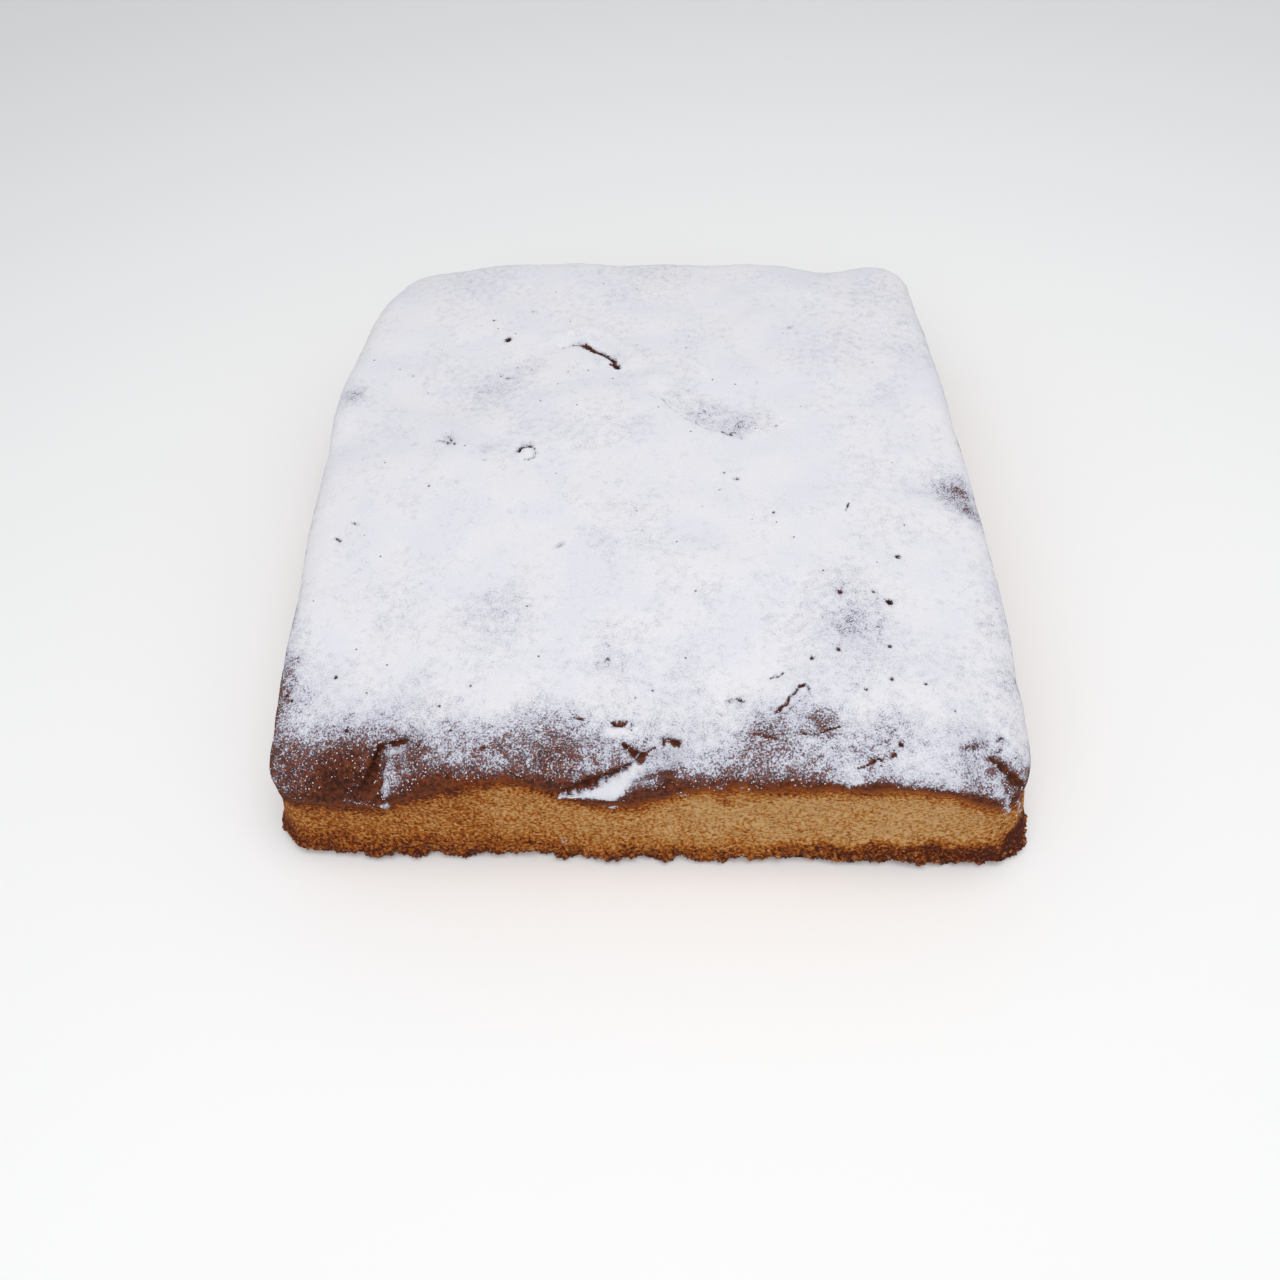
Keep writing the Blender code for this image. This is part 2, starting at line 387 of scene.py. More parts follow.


# Cracks and tears in the crust, darkened with painted shade along their gaps.
SPLITS = cracks(
    (0.5, 0.5, 0.7, 1, 0.5, ((-32.4, 61.3, 43.3), (-31.4, 61.5, 43.3))),
    (0.6, 1, 0.7, 1, 0.5, ((-29.9, 61.8, 43.4), (-28.5, 62.3, 43.6), (-24.9, 62.2, 44))),
    (1.4, 1.8, 1.2, 1.5, 0.65, ((-24.9, 61.8, 44), (-22.2, 59.8, 44))),
    (1.1, 1, 1.2, 1.1, 0.45, ((-22.2, 59.8, 44), (-19.8, 56.8, 44.3), (-17.8, 56.6, 44))),
    (1.7, 1.1, 1.3, 1.4, 0.65, ((-17.8, 56.6, 44), (-14.7, 53.9, 44.4), (-12.9, 51.6, 44.1),
      (-11.2, 47, 45))),
    (0.2, 0.34, 0.5, 0.95, 0.35, ((58.7, -116.1, 42.4), (60.9, -115.5, 42.9), (62.6, -114.7, 43.4),
      (63.5, -114, 43.6), (64.7, -114.4, 43.6), (66.1, -113.3, 43.7), (66.9, -113.8, 43.6),
      (68.2, -112.5, 43.7))),
    (0.22, 0.3, 0.5, 0.8, 0.3, ((44.9, -106.3, 43.1), (47.8, -106.5, 43), (50.5, -105.6, 42.9),
      (52.9, -104.5, 42.7), (55.2, -103.9, 42.6))),
    (0.5, 0.42, 0.5, 0.58, 0.08, ((39.2, -99.6, 43.3), (40.2, -98.2, 43.5), (41.6, -97.6, 43.6),
      (42.4, -95.8, 44.1), (44.1, -94.3, 44.5), (45, -92.8, 44.7), (46.4, -92.3, 44.7))),
    (0.5, 0.5, 0.4, 0.85, 0.1, ((45.4, -92.4, 44.7), (46.6, -92.4, 44.7), (47.5, -93.1, 44.6),
      (48, -95, 44.2))),
    (0.5, 0.3, 0.3, 0.35, 0, ((41.5, -100, 43.4), (43, -98.2, 43.6), (44.9, -96.8, 43.9))),
    (0.34, 0.3, 0.3, 0.22, 0.04, ((32.9, -105.7, 42.3), (36.3, -106.9, 42.6), (38.8, -107.6, 42.8),
      (42.5, -109, 42.8), (44.8, -108.7, 42.9))),
    (0.95, 0.95, 0.9, 0.98, 0.06, ((-3.6, -102.9, 41.7), (0, -102.9, 41.8))),
    (0.3, 0.3, 0.3, 0.6, 0.6, ((-4.6, -102.6, 41.8), (-3.2, -103.3, 41.7))),
    (0.9, 0.9, 0.7, 0.85, 0.06, ((9.6, -107.4, 40), (12.9, -107.8, 40.4))),
    (0.25, 0.25, 0.2, 0.6, 0.5, ((9.4, -108.4, 39.8), (12.6, -108.9, 40.2))),
    (0.45, 0.45, 0.5, 0.7, 0.15, ((-14.1, -101.7, 42.7), (-12.4, -102.2, 42.7))),
    (0.5, 0.5, 0.7, 0.9, 0.3, ((26, -96.1, 42.5), (27.8, -95.7, 42.5), (28.7, -95.2, 42.6),
      (30.2, -95.9, 42.5))),
    (0.28, 0.28, 0.4, 0.9, 0.4, ((-50.4, -106.2, 43.3), (-49, -107, 43.1), (-47.3, -106.4, 43.1))),
    (0.5, 0.5, 0.6, 0.7, 0.25, ((-39.4, -112.2, 42.8), (-37.5, -111.9, 43.2))),
    (0.35, 0.35, 0.4, 0.65, 0.15, ((37.8, -89.2, 43.7), (39.1, -88.4, 43.8), (40.1, -89, 43.9),
      (41.3, -87.3, 43.9))),
    (0.6, 0.6, 0.6, 0.8, 0.1, ((-95.5, -36.2, 43.5), (-93.2, -37.7, 43.7))),
    (0.5, 0.5, 0.6, 0.6, 0.3, ((-91, -29.8, 44), (-89.3, -30.7, 44.1))),
    # The next two are the dark crescent and faint halo round the first blister: painted shade of its dome.
    (0.5, 0.7, 1, 1.4, 1, ((-41.2, 1, 45.6), (-41.2, 2.7, 45.6), (-40.2, 3.4, 45.7), (-37.7, 3.2, 45.9))),
    (0.35, 0.35, 0.5, 0.7, 0.14, ((-36.2, 2.4, 46), (-35.8, 0.1, 45.9), (-36.2, -2, 45.7),
      (-37.4, -2.8, 45.6), (-39.1, -2.5, 45.6))),
    (0.35, 0.35, 0.4, 0.3, 0, ((5.1, 28.3, 46.1), (8.3, 23.3, 45.7), (14.5, 17.1, 45.1), (20.6, 12.8, 44.8),
      (26, 10.8, 44.8))),
    (0.34, 0.34, 0.6, 0.7, 0.5, ((26, 11.5, 44.6), (27.9, 9.6, 44.8), (29.6, 11.7, 44.4),
      (31.3, 10.3, 44.7), (32.3, 7.4, 45))),
    (0.3, 0.3, 0.3, 0.6, 0.4, ((63.5, -25.9, 44.8), (64.7, -22.8, 44.8))),
    (0.5, 0.7, 0.4, 0.5, 0.05, ((-67.7, 11.9, 44.8), (-67.3, 9.5, 45), (-65.7, 8.2, 45.3),
      (-63.5, 5.2, 45.9))),
    (0.6, 0.6, 0.3, 0.42, 0, ((-68.6, 7.6, 45.1), (-66, 5.6, 45.5))),
)
# Folds in the crust over the front wall, the sharp ones first, darkened with painted shade under their lips.
SHARP_FOLDS = cracks(
    (1.5, 0.8, 1.2, 1.7, 0.12, 1.4, 4.5, ((-19.6, -119.9, 33), (-17.1, -119.8, 35.2), (-13.2, -119.3, 37.6),
      (-9.2, -117.6, 37.6), (-4.1, -115.4, 37.3), (-0.1, -113.4, 37.1), (2.9, -111.7, 37.2))),
    (0.4, 1, 0.9, 0.75, 0.3, ((-1.6, -108.7, 41.2), (0.8, -110.1, 39.8), (3.3, -110.8, 38))),
    (0.35, 0.8, 0.6, 0.5, 0.15, ((6.8, -108.4, 38.9), (4.9, -109.7, 38.4), (3.3, -110.8, 38))),
    (1, 0.6, 0.7, 0.8, 0.25, 0.8, 3.5, ((-71.2, -117.6, 32), (-70.2, -116, 33.4), (-69.4, -114.4, 34.5),
      (-68.4, -112.4, 36.1), (-67.4, -109.1, 38), (-64.5, -107.8, 38.4), (-60.4, -107, 38.7),
      (-56.7, -109.1, 39.7))),
)
FOLDS = SHARP_FOLDS + cracks(
    # A shallow hollow at the front-left corner, darkened mostly with painted shade.
    (5, 3.5, 0.6, 0.02, 0.42, ((-79, -118.2, 33), (-74.5, -118.6, 33), (-71, -118.4, 33.5))),
    (0.8, 0.8, 0.6, 0.28, 0, ((85.7, -109.6, 41.8), (92.3, -106.6, 39.9), (97, -105.1, 39.8))),
    (0.7, 0.7, 0.7, 0.5, 0.2, ((97, -105.1, 39.8), (95.7, -108, 39.1), (94.3, -109.8, 38.7))),
    (0.9, 1.7, 0.9, 0.48, 0.3, ((95.1, -110.4, 38.4), (96.7, -111.7, 37.1), (99.4, -113.7, 35.5),
      (101.6, -115.6, 32.7))),
    (0.9, 1.2, 0.6, 0.15, 0, ((92.3, -110.1, 39), (95.6, -114.9, 37), (99.2, -118.4, 33))),
)
# Sugar that slid together or stuck to the wall.
DRIFTS = heaps(
    (1.3, 2.9, 0.5, 1.12, ((3.4, -112.2, 36.8), (-0.1, -115.6, 35.6), (-4.2, -118.5, 34))),
    (2.6, 0.8, 0.5, 1.12, ((-4.2, -118.5, 34), (-9.4, -119.8, 33.2), (-18, -119.9, 31.4))),
    (1.6, 1.1, 0.3, 0.95, ((-64.4, -110.2, 37.2), (-60.6, -109.8, 37.9))),
    (1.1, 1.2, 0.2, 0.66, ((-63.5, -112.4, 37.3), (-64, -116.1, 36), (-64.9, -117.9, 33.6),
      (-66, -119.8, 30))),
    (1.4, 1, 0.2, 0.52, ((-62.9, -115.4, 37.1), (-61.2, -117.5, 36.1), (-64.3, -118.8, 32.7))),
    (0.9, 1.2, 0.2, 0.55, ((-65.4, -120, 28.5), (-67, -120.5, 26))),
    (1.6, 1.6, 0.35, 1.1, ((-4.2, -105.2, 41.4), (1, -105, 41))),
    (1.3, 0.9, 0.3, 0.8, ((94.8, -116.6, 36.6), (96.5, -118.4, 33.9), (98.6, -118.2, 29),
      (100.7, -117.4, 23))),
    (1, 1, 0.2, 0.6, ((100.8, -116.1, 32.6), (102.4, -116.2, 29), (104.5, -114.6, 21.5),
      (105.6, -114.4, 17.5))),
)
# Stray sugar on the wall and the rim.
SPECKS = heaps(
    (0.8, 0.8, 0, 0.36, ((-76.7, -120.1, 29.2), (-72.8, -120.5, 27.9), (-69.1, -120.5, 26.3),
      (-66.5, -120.5, 25.8))),
    (0.8, 0.8, 0, 0.8, ((-6.4, -119.9, 26.4), (-3.2, -119.9, 26))),
    (0.9, 0.9, 0, 0.8, ((13.4, -120.3, 34.9), (15.2, -120.3, 34))),
    (1.2, 1.2, 0, 0.55, ((-19.9, -121, 7.8),)),
    (0.9, 0.9, 0, 0.6, ((15.9, -121.4, 7.6),)),
    (0.7, 0.7, 0, 0.9, ((58, -119.1, 39.6), (59.2, -119, 39.9))),
    (0.6, 0.6, 0, 0.8, ((56.6, -119.7, 37.7),)),
    (0.6, 0.6, 0, 0.7, ((22, -119.4, 37.4), (25, -119.4, 37.8))),
    (0.5, 0.5, 0, 0.7, ((29, -119.4, 38), (31.5, -119.4, 37))),
)
# Bubbles that lift the crust.
BLISTERS = heaps(
    (1.9, 1.9, 1.5, 1.3, ((-38.4, 0.3, 45.7),)),
    (2.6, 2.6, 0.7, 0, ((45.4, -95.4, 44.2),)),
    (3, 3, 0.5, 0, ((-63, -111.5, 38),)),
)
# Browner spots in the crumb of the front wall.
BROWN_SPOTS = heaps(
    (2, 2, 0, 0, ((25.9, -119.8, 29.2),)),
    (0.9, 0.9, 0, 0, ((29.5, -120.2, 24),)),
    (1.4, 1.4, 0, 0, ((82, -121.6, 12),)),
)
FINELY_MESHED = SPLITS + SHARP_FOLDS + BLISTERS[:1]
# Small holes, as (x, y, radius, darkness), in millimetres; darkness sets their depth, lost sugar and the
# painted shade inside them.
PITS = (
    (-53.4, 65.8, 1.15, 1.0), (-60.1, 77.5, 0.5, 0.4), (-45.4, 81.5, 0.5, 0.3), (72.8, -62.1, 0.9, 0.9),
    (56.7, -79.8, 0.6, 0.5), (49.3, -82.6, 0.6, 0.5), (70.1, -89.6, 0.6, 0.5), (78.9, -90.7, 0.5, 0.5),
    (70, -109.9, 0.6, 0.5), (63, -92.8, 0.5, 0.4), (70.9, -78.4, 0.5, 0.5), (-83.2, -88.4, 0.6, 0.6),
    (-68.6, -15.4, 0.5, 0.4), (-23.6, -40.5, 0.45, 0.4), (26.3, -9.6, 0.5, 0.4), (58.9, -59.1, 0.6, 0.5),
    (68.3, -59.0, 0.5, 0.4), (77.2, -44.6, 0.8, 0.8), (-76.6, -105.2, 0.5, 0.4), (-86, 46.0, 0.4, 0.3),
    (51.8, 70.9, 0.5, 0.40), (30.6, -12.1, 0.7, 0.44), (24.8, -17.4, 0.5, 0.32), (41.2, -27.7, 0.55, 0.48),
    (44, 14.7, 0.4, 0.40), (38.1, 36.7, 0.35, 0.32), (19.2, -25.3, 0.35, 0.32), (-7.8, 83.5, 0.45, 0.24),
    (-79, 36.8, 0.4, 0.28), (-70, 41.3, 0.35, 0.32), (-51.2, 43.5, 0.45, 0.32), (-77.3, 6.4, 0.35, 0.32),
    (-52.2, -3.4, 0.6, 0.28), (-96.5, -93.3, 0.4, 0.40), (-94.4, -95.4, 0.4, 0.40), (-51.4, -99.3, 0.4, 0.40),
    (-43.8, -92.7, 0.4, 0.36), (-38.9, -84.3, 0.4, 0.32), (6, -93, 0.4, 0.40), (1.5, -95.5, 0.35, 0.32),
    (38.3, -69, 0.4, 0.32), (85.3, -99.3, 0.35, 0.32), (-95.7, -81.5, 0.35, 0.32), (-6.9, -82.9, 0.4, 0.32),
)
# Where the sugar lies thin, as (x, y, reach, loss), in millimetres. The broad, faint ones from y = 60 mm back
# also darken the back half as painted shade for the dimmer light there.
THIN_SUGAR_AND_BACK_SHADE = (
    (51.6, -101.0, 5.0, 0.30), (51.4, -104.4, 4.0, 0.12), (35.6, -104.4, 7.0, 0.15),
    (43.0, -100.7, 8.0, 0.12), (36.0, -114.0, 11.0, 0.13), (68.5, -103.8, 7.0, 0.20),
    (62.4, -71.4, 12.0, 0.32), (60.0, -56.0, 9.0, 0.22), (100.0, -14.0, 7.5, 0.42),
    (93.0, -12.0, 9.0, 0.14), (103.0, -24.0, 7.0, 0.36), (-105.7, 35.2, 6.0, 0.36), (-66.3, 7.6, 4.0, 0.20),
    (-57.0, 36.0, 11.0, 0.25), (-48.5, 45.0, 7.0, 0.17), (-52.0, 2.0, 5.0, 0.20),
    (-40.0, -66.0, 11.0, 0.24), (30.0, 13.0, 5.0, 0.26), (21.0, 21.0, 7.5, 0.31), (11.0, 29.5, 6.0, 0.20),
    (38.0, 18.0, 8.0, 0.20), (4.0, -40.0, 16.0, 0.10), (-15.0, -103.0, 9.0, 0.10),
    (-26.0, -110.0, 8.0, 0.10), (-17.5, -117.0, 6.0, 0.11), (101.0, -70.0, 6.0, 0.24),
    (102.0, -88.0, 6.0, 0.24), (-72.0, -60.0, 12.0, 0.10), (88.0, -108.0, 7.0, 0.14),
    (-22.0, 84.0, 16.0, 0.08), (68.0, 60.0, 16.0, 0.08), (-78.0, -118.0, 10.0, 0.24),
    (-106.5, -88.0, 13.0, 0.60), (-108.0, -68.0, 7.0, 0.32), (-7.0, -84.0, 9.0, 0.16),
    (76.0, -30.0, 12.0, 0.12), (-32.0, 16.0, 12.0, 0.08), (0.0, 13.5, 7.0, 0.15), (-18.0, 14.0, 6.0, 0.13),
    (-41.0, 50.0, 6.0, 0.12), (82.0, 92.0, 12.0, 0.16), (96.0, 60.0, 10.0, 0.14), (0.0, 110.0, 18.0, 0.16),
    (-70.0, 104.0, 22.0, 0.14), (-60.0, -94.0, 9.0, 0.12),
)
# The front's fade of sugar: x, the y behind which it is whole, and the cover left at the rim.
FRONT_FADE = (
    (-0.110, -0.064, 0.28), (-0.097, -0.078, 0.34), (-0.086, -0.088, 0.32), (-0.072, -0.092, 0.29),
    (-0.052, -0.089, 0.40), (-0.032, -0.089, 0.46), (-0.014, -0.090, 0.45), (0.003, -0.092, 0.53),
    (0.028, -0.083, 0.57), (0.058, -0.091, 0.70), (0.083, -0.101, 0.75), (0.098, -0.098, 0.57),
)
# Height on the front wall at which the sugar ends, over x.
SUGAR_EDGE = (
    (-0.103, 0.0272), (-0.084, 0.0288), (-0.073, 0.0285), (-0.064, 0.0330), (-0.055, 0.0360),
    (-0.046, 0.0380), (-0.031, 0.0396), (-0.020, 0.0394), (-0.010, 0.0380), (-0.001, 0.0342),
    (0.006, 0.0362), (0.011, 0.0386), (0.049, 0.0393), (0.064, 0.0397), (0.074, 0.0392), (0.085, 0.0364),
    (0.092, 0.0338), (0.100, 0.0305), (0.106, 0.0290),
)
# Height on the front wall at which the crust ends, over x.
CRUST_EDGE = (
    (-0.105, 0.0250), (-0.092, 0.0256), (-0.077, 0.0260), (-0.067, 0.0272), (-0.055, 0.0328),
    (-0.046, 0.0368), (-0.030, 0.0386), (-0.021, 0.0345), (-0.013, 0.0290), (0.000, 0.0280),
    (0.006, 0.0302), (0.0155, 0.0362),
    (0.029, 0.0374), (0.075, 0.0375), (0.085, 0.0348), (0.092, 0.0313), (0.099, 0.0268), (0.106, 0.0258),
)


@dataclass(frozen=True)
class Climb:
    """A soft climb by an amount while a value goes from start to end."""

    amount: float
    start: float
    end: float

    def at(self, value: np.ndarray) -> np.ndarray:
        """How far the climb has come at each value."""
        return self.amount * smooth(self.start, self.end, value)


@dataclass(frozen=True)
class SugarCoat:
    """How much sugar lies on the skin: below 0 none, 1 all but closed, more is thicker."""

    rim: float = 0.002
    thicker_behind: Climb = Climb(0.07, 0.0, 0.035)
    patchy_everywhere: float = 0.11
    patchy_where_thin: float = 0.26
    closed: float = 1.1
    patchy_in_patches: float = 0.8
    front_rim: Band = (-0.1120, -0.1160)
    depth: float = 0.0046
    thinner_at_edge: Climb = Climb(0.22, -0.0030, 0.0)
    end: Band = (-0.0009, 0.0008)
    strays: float = 0.05
    patchy_strays: float = 0.25
    bare_below: Climb = Climb(1.1, 0.0009, 0.0026)

    def cover(self, at: np.ndarray, below: np.ndarray, patches: np.ndarray, wobble: np.ndarray,
              front_y: float) -> np.ndarray:
        """The cover of sugar at places on the skin.

        Args:
            at: Places on the skin.
            below: How far each lies below the top.
            patches: Noise around 0 that breaks the cover up.
            wobble: Noise in metres that bends the sugar's edge.
            front_y: Where the front wall is.

        Returns:
            One cover for each place.
        """
        x, y, z = at.T
        knots, whole, rim = np.array(FRONT_FADE).T
        whole_at, at_rim = np.interp(x, knots, whole), np.interp(x, knots, rim)
        cover = at_rim + (1.0 - at_rim) * smooth(front_y + self.rim, whole_at, y)
        cover += self.thicker_behind.at(y - whole_at)
        cover += patches * (self.patchy_everywhere + self.patchy_where_thin * cover * (self.closed - cover))
        # Thin sugar; the broad patches at the back also serve as painted shade.
        for patch_x, patch_y, reach, loss in THIN_SUGAR_AND_BACK_SHADE:
            away = np.hypot(x / MM - patch_x, y / MM - patch_y) / reach
            cover -= loss * np.exp(-away * away) * (1 + self.patchy_in_patches * patches)
        knots, edges = np.array(SUGAR_EDGE).T
        on_rim = smooth(*self.front_rim, y)
        past = (np.interp(x, knots, edges) - z) * on_rim + (below - self.depth) * (1 - on_rim) + wobble
        cover -= self.thinner_at_edge.at(past)
        cover += (self.strays + self.patchy_strays * patches - cover) * smooth(*self.end, past)
        return cover - self.bare_below.at(past)


@dataclass(frozen=True)
class Browning:
    """Where the deep brown crust is, from 0 to 1, and how toasted the crumb is, from 0, pale, to 1, deep
    brown.
    """

    crust_depth: float = 0.0066
    crust_fade: Band = (-0.0036, 0.0024)
    palest: float = 0.16
    leftwards: Climb = Climb(0.29, 0.030, -0.070)
    off_the_front: float = 0.22
    under_crust: float = 0.55
    under_crust_fade: Band = (-0.0090, 0.0005)
    under_crust_power: float = 1.3
    low_down: Climb = Climb(0.25, 0.016, 0.006)
    foot_band: float = 0.0084
    foot_wobble: float = 3.0
    foot_rightwards: Climb = Climb(0.0036, 0.020, 0.060)
    foot_fade: float = 0.0050
    char: float = 0.81
    char_rightwards: Climb = Climb(0.17, 0.030, 0.075)
    char_share: float = 0.85
    right_end: Band = (0.088, 0.102)
    right_end_toast: Climb = Climb(0.20, 0.022, 0.012)
    right_end_off_front: float = 0.3
    base_edge: Climb = Climb(0.18, 0.0032, 0.001)
    corner: Climb = Climb(0.14, 0.87, 0.98)
    corner_from: Band = (0.5, 1.2)
    spot: float = 0.45
    darkest: float = 1.1

    def crust_and_toast(self, at: np.ndarray, below: np.ndarray, front: np.ndarray, wobble: np.ndarray,
                        grid: Grid) -> tuple[np.ndarray, np.ndarray]:
        """The crust and the toasting at places on the skin.

        Args:
            at: Places on the skin.
            below: How far each lies below the top.
            front: How far each belongs to the front, from 0 to 1.
            wobble: Noise in metres that bends the crust's edge.
            grid: The u, v and s of the places.

        Returns:
            The crust and the toasting.
        """
        x, z = at[:, 0], at[:, 2]
        u, v, s = grid
        knots, edges = np.array(CRUST_EDGE).T
        edge = np.interp(x, knots, edges)
        edge = edge * front + (z + below - self.crust_depth) * (1 - front) + wobble
        crust = smooth(edge + self.crust_fade[0], edge + self.crust_fade[1], z)
        start, end = (edge + offset for offset in self.under_crust_fade)
        toast = self.palest + self.leftwards.at(x) + self.off_the_front * (1 - front)
        toast += self.under_crust * smooth(start, end, z) ** self.under_crust_power + self.low_down.at(z)
        band = self.foot_band + self.foot_wobble * wobble + self.foot_rightwards.at(x)
        char = self.char + self.char_rightwards.at(x)
        toast += (char - toast) * self.char_share * smooth(band, band - self.foot_fade, z)
        right_end = smooth(*self.right_end, x)
        right_end *= self.right_end_off_front + (1 - self.right_end_off_front) * front
        toast += right_end * self.right_end_toast.at(z) + self.base_edge.at(z)
        toast += self.corner.at(np.minimum(np.abs(u), np.abs(v))) * smooth(*self.corner_from, s)
        toast += sum(self.spot * spot.weight(at) for spot in BROWN_SPOTS)
        return crust, np.clip(toast, 0, self.darkest)


@dataclass(frozen=True)
class Spacing:
    """Wanted length of edges near the front wall and elsewhere."""

    front: float
    elsewhere: float


SPACINGS = {
    Region.TOP: Spacing(0.0006, 0.0030),
    Region.SHOULDER: Spacing(0.0006, 0.0012),
    Region.WALL: Spacing(0.0006, 0.0012),
    Region.FOOT: Spacing(0.0006, 0.0012),
    Region.BASE: Spacing(0.0050, 0.0050),
}
MOST_VERTICES = 2.0**17  # more than the skin has
RANKED_CORNERS = 3  # enough to tell two faces apart


def rank(item: bmesh.types.BMEdge | bmesh.types.BMFace) -> float:
    """A number that tells an edge or a face apart by its lowest vertices."""
    total = 0.0
    for number in sorted(vert.index for vert in item.verts)[:RANKED_CORNERS]:
        total = total * MOST_VERTICES + number
    return total


def put_in_order(mesh: bmesh.types.BMesh) -> None:
    """Sorts edges and faces by their vertices, because their order differs from run to run."""
    mesh.verts.index_update()
    mesh.edges.sort(key=rank)
    mesh.faces.sort(key=rank)


def put_in_scene(name: str, data: bpy.types.ID) -> Thing:
    """A new object that shows a mesh, a light or a camera, linked to the scene."""
    thing = bpy.data.objects.new(name, data)
    bpy.context.scene.collection.objects.link(thing)
    return thing


@dataclass
class SpongeBody:
    """The sponge with its crust and its coat of sugar, as one closed skin."""

    form: CakeForm
    coat: SugarCoat = SugarCoat()
    browning: Browning = Browning()
    columns: int = 49
    rows: int = 55
    ring_counts: tuple[int, int, int] = (2, 7, 2)
    base_ring: float = 3.06
    first_spacing: float = 0.0044
    halvings: int = 4
    coarse_share: float = 0.75
    halved_share: float = 0.6
    mark_spacing: float = 0.0003
    mark_margin: Band = (1.1, 0.5)
    pit_margin: Band = (1.5, 0.3)
    front_band: float = 0.018
    middle_band: float = 0.040
    middle_spacing: float = 0.0012
    grain: Unevenness = Unevenness(0.00022, 420.0, 5.1, 2)
    puffs: Unevenness = Unevenness(0.00030, 110.0, 8.3, 2)
    powder: Unevenness = Unevenness(0.00016, 190.0, 2.9, 2)
    ragged: Unevenness = Unevenness(0.00120, 290.0, 6.7, 3)
    patchy: Unevenness = Unevenness(1.0, 85.0, 14.2, 3)
    broad: Unevenness = Unevenness(1.0, 26.0, 33.8, 2)
    broad_share: float = 0.8
    edge_wobble: Unevenness = Unevenness(0.0012, 120.0, 21.4, 2)
    fraying: Unevenness = Unevenness(0.0012, 480.0, 9.6, 2)
    fraying_shifts: Place = (0.0, 0.3, 0.7)
    wall_from: Band = (0.75, 1.15)
    front_from: Band = (-0.100, -0.1115)
    foot_from: Band = (0.0085, 0.0015)
    crumbling_from: Band = (0.006, 0.002)
    puff_squash: float = 2.2
    grain_squash: float = 1.6
    pit_depth: float = 1.1
    pit_loss: float = 1.6
    pit_darkness_fade: float = 1.3
    least_cover: float = -0.15
    sugar_height: float = 0.00022
    sugar_grain: float = 0.00012
    sugar_down_to: float = 1.2
    thickest_sugar: float = 1.2
    wobble_on_top: float = 1.1
    calmer_in_front: float = 0.65
    smoother_crust: float = 0.6
    frayed_gaps: float = 1.3
    frayed_least: float = 0.26
    frayed_by_width: float = 0.4
    dark_spread: float = 0.8
    heap_spread: float = 1.1
    heap_patches: float = 0.15
    clumping_gain: float = 4.0
    clumping_end: float = 1.06
    clumping_between: Band = (0.05, 1.05)
    lumps_on_thick_sugar: float = 0.4
    thick_sugar: float = 0.2
    least_crumbling: float = 0.25

    def skeleton(self) -> bmesh.types.BMesh:
        """The grid, its rings and the fan of the base, still coarse, with u, v and s kept in layers."""
        mesh = bmesh.new()
        u, v, s = (mesh.verts.layers.float.new(name) for name in "uvs")
        bmesh.ops.create_grid(mesh, x_segments=self.columns, y_segments=self.rows, size=1.0)
        for vert in mesh.verts:
            vert[u], vert[v] = vert.co.x, vert.co.y
        border = [edge for edge in mesh.edges if edge.is_boundary]
        levels = [base + step / count for base, count in enumerate(self.ring_counts)
                  for step in range(1, count + 1)]
        for level in levels + [self.base_ring]:
            made = bmesh.ops.extrude_edge_only(mesh, edges=border)["geom"]
            for vert in (item for item in made if isinstance(item, bmesh.types.BMVert)):
                vert[s] = level
            border = [item for item in made if isinstance(item, bmesh.types.BMEdge) and item.is_boundary]
        base = bmesh.ops.contextual_create(mesh, geom=border)["faces"]
        for vert in bmesh.ops.poke(mesh, faces=base)["verts"]:
            vert[u], vert[v], vert[s] = 0, 0, Region.BASE.value
        put_in_order(mesh)
        return mesh

    def read_layers(self, mesh: bmesh.types.BMesh) -> Grid:
        """The u, v and s of every vertex."""
        layers = [mesh.verts.layers.float[name] for name in "uvs"]
        return tuple(np.array([vert[layer] for vert in mesh.verts]) for layer in layers)

    def settle(self, mesh: bmesh.types.BMesh) -> None:
        """Puts every vertex on the smooth form."""
        for vert, place in zip(mesh.verts, self.form.places(*self.read_layers(mesh))):
            vert.co = place

    def wanted(self, centres: np.ndarray, profile: np.ndarray) -> np.ndarray:
        """Wanted edge length of faces.

        Args:
            centres: The faces' middles.
            profile: Their mean profile numbers.

        Returns:
            One length for each.
        """
        regions = np.ceil(profile - ROUNDING).astype(int)
        inside = centres[:, 1] + self.form.half_depth
        spacing = np.zeros(len(centres))
        for region, lengths in SPACINGS.items():
            near = np.where(inside < self.front_band, lengths.front, lengths.elsewhere)
            spacing = np.where(regions == region.value, near, spacing)
        in_middle = (regions == Region.TOP.value) & (inside < self.middle_band)
        spacing = np.where(in_middle, np.minimum(spacing, self.middle_spacing), spacing)
        fine = np.zeros(len(centres), dtype=bool)
        widths, margin = self.mark_margin
        for mark in FINELY_MESHED:
            fine |= mark.nearest(centres)[0] < widths * mark.width + margin
        radii, margin = self.pit_margin
        for x, y, radius, _ in PITS:
            fine |= np.hypot(centres[:, 0] - x * MM, centres[:, 1] - y * MM) < (radii * radius + margin) * MM
        return np.where(fine & (regions < Region.BASE.value), self.mark_spacing, spacing)

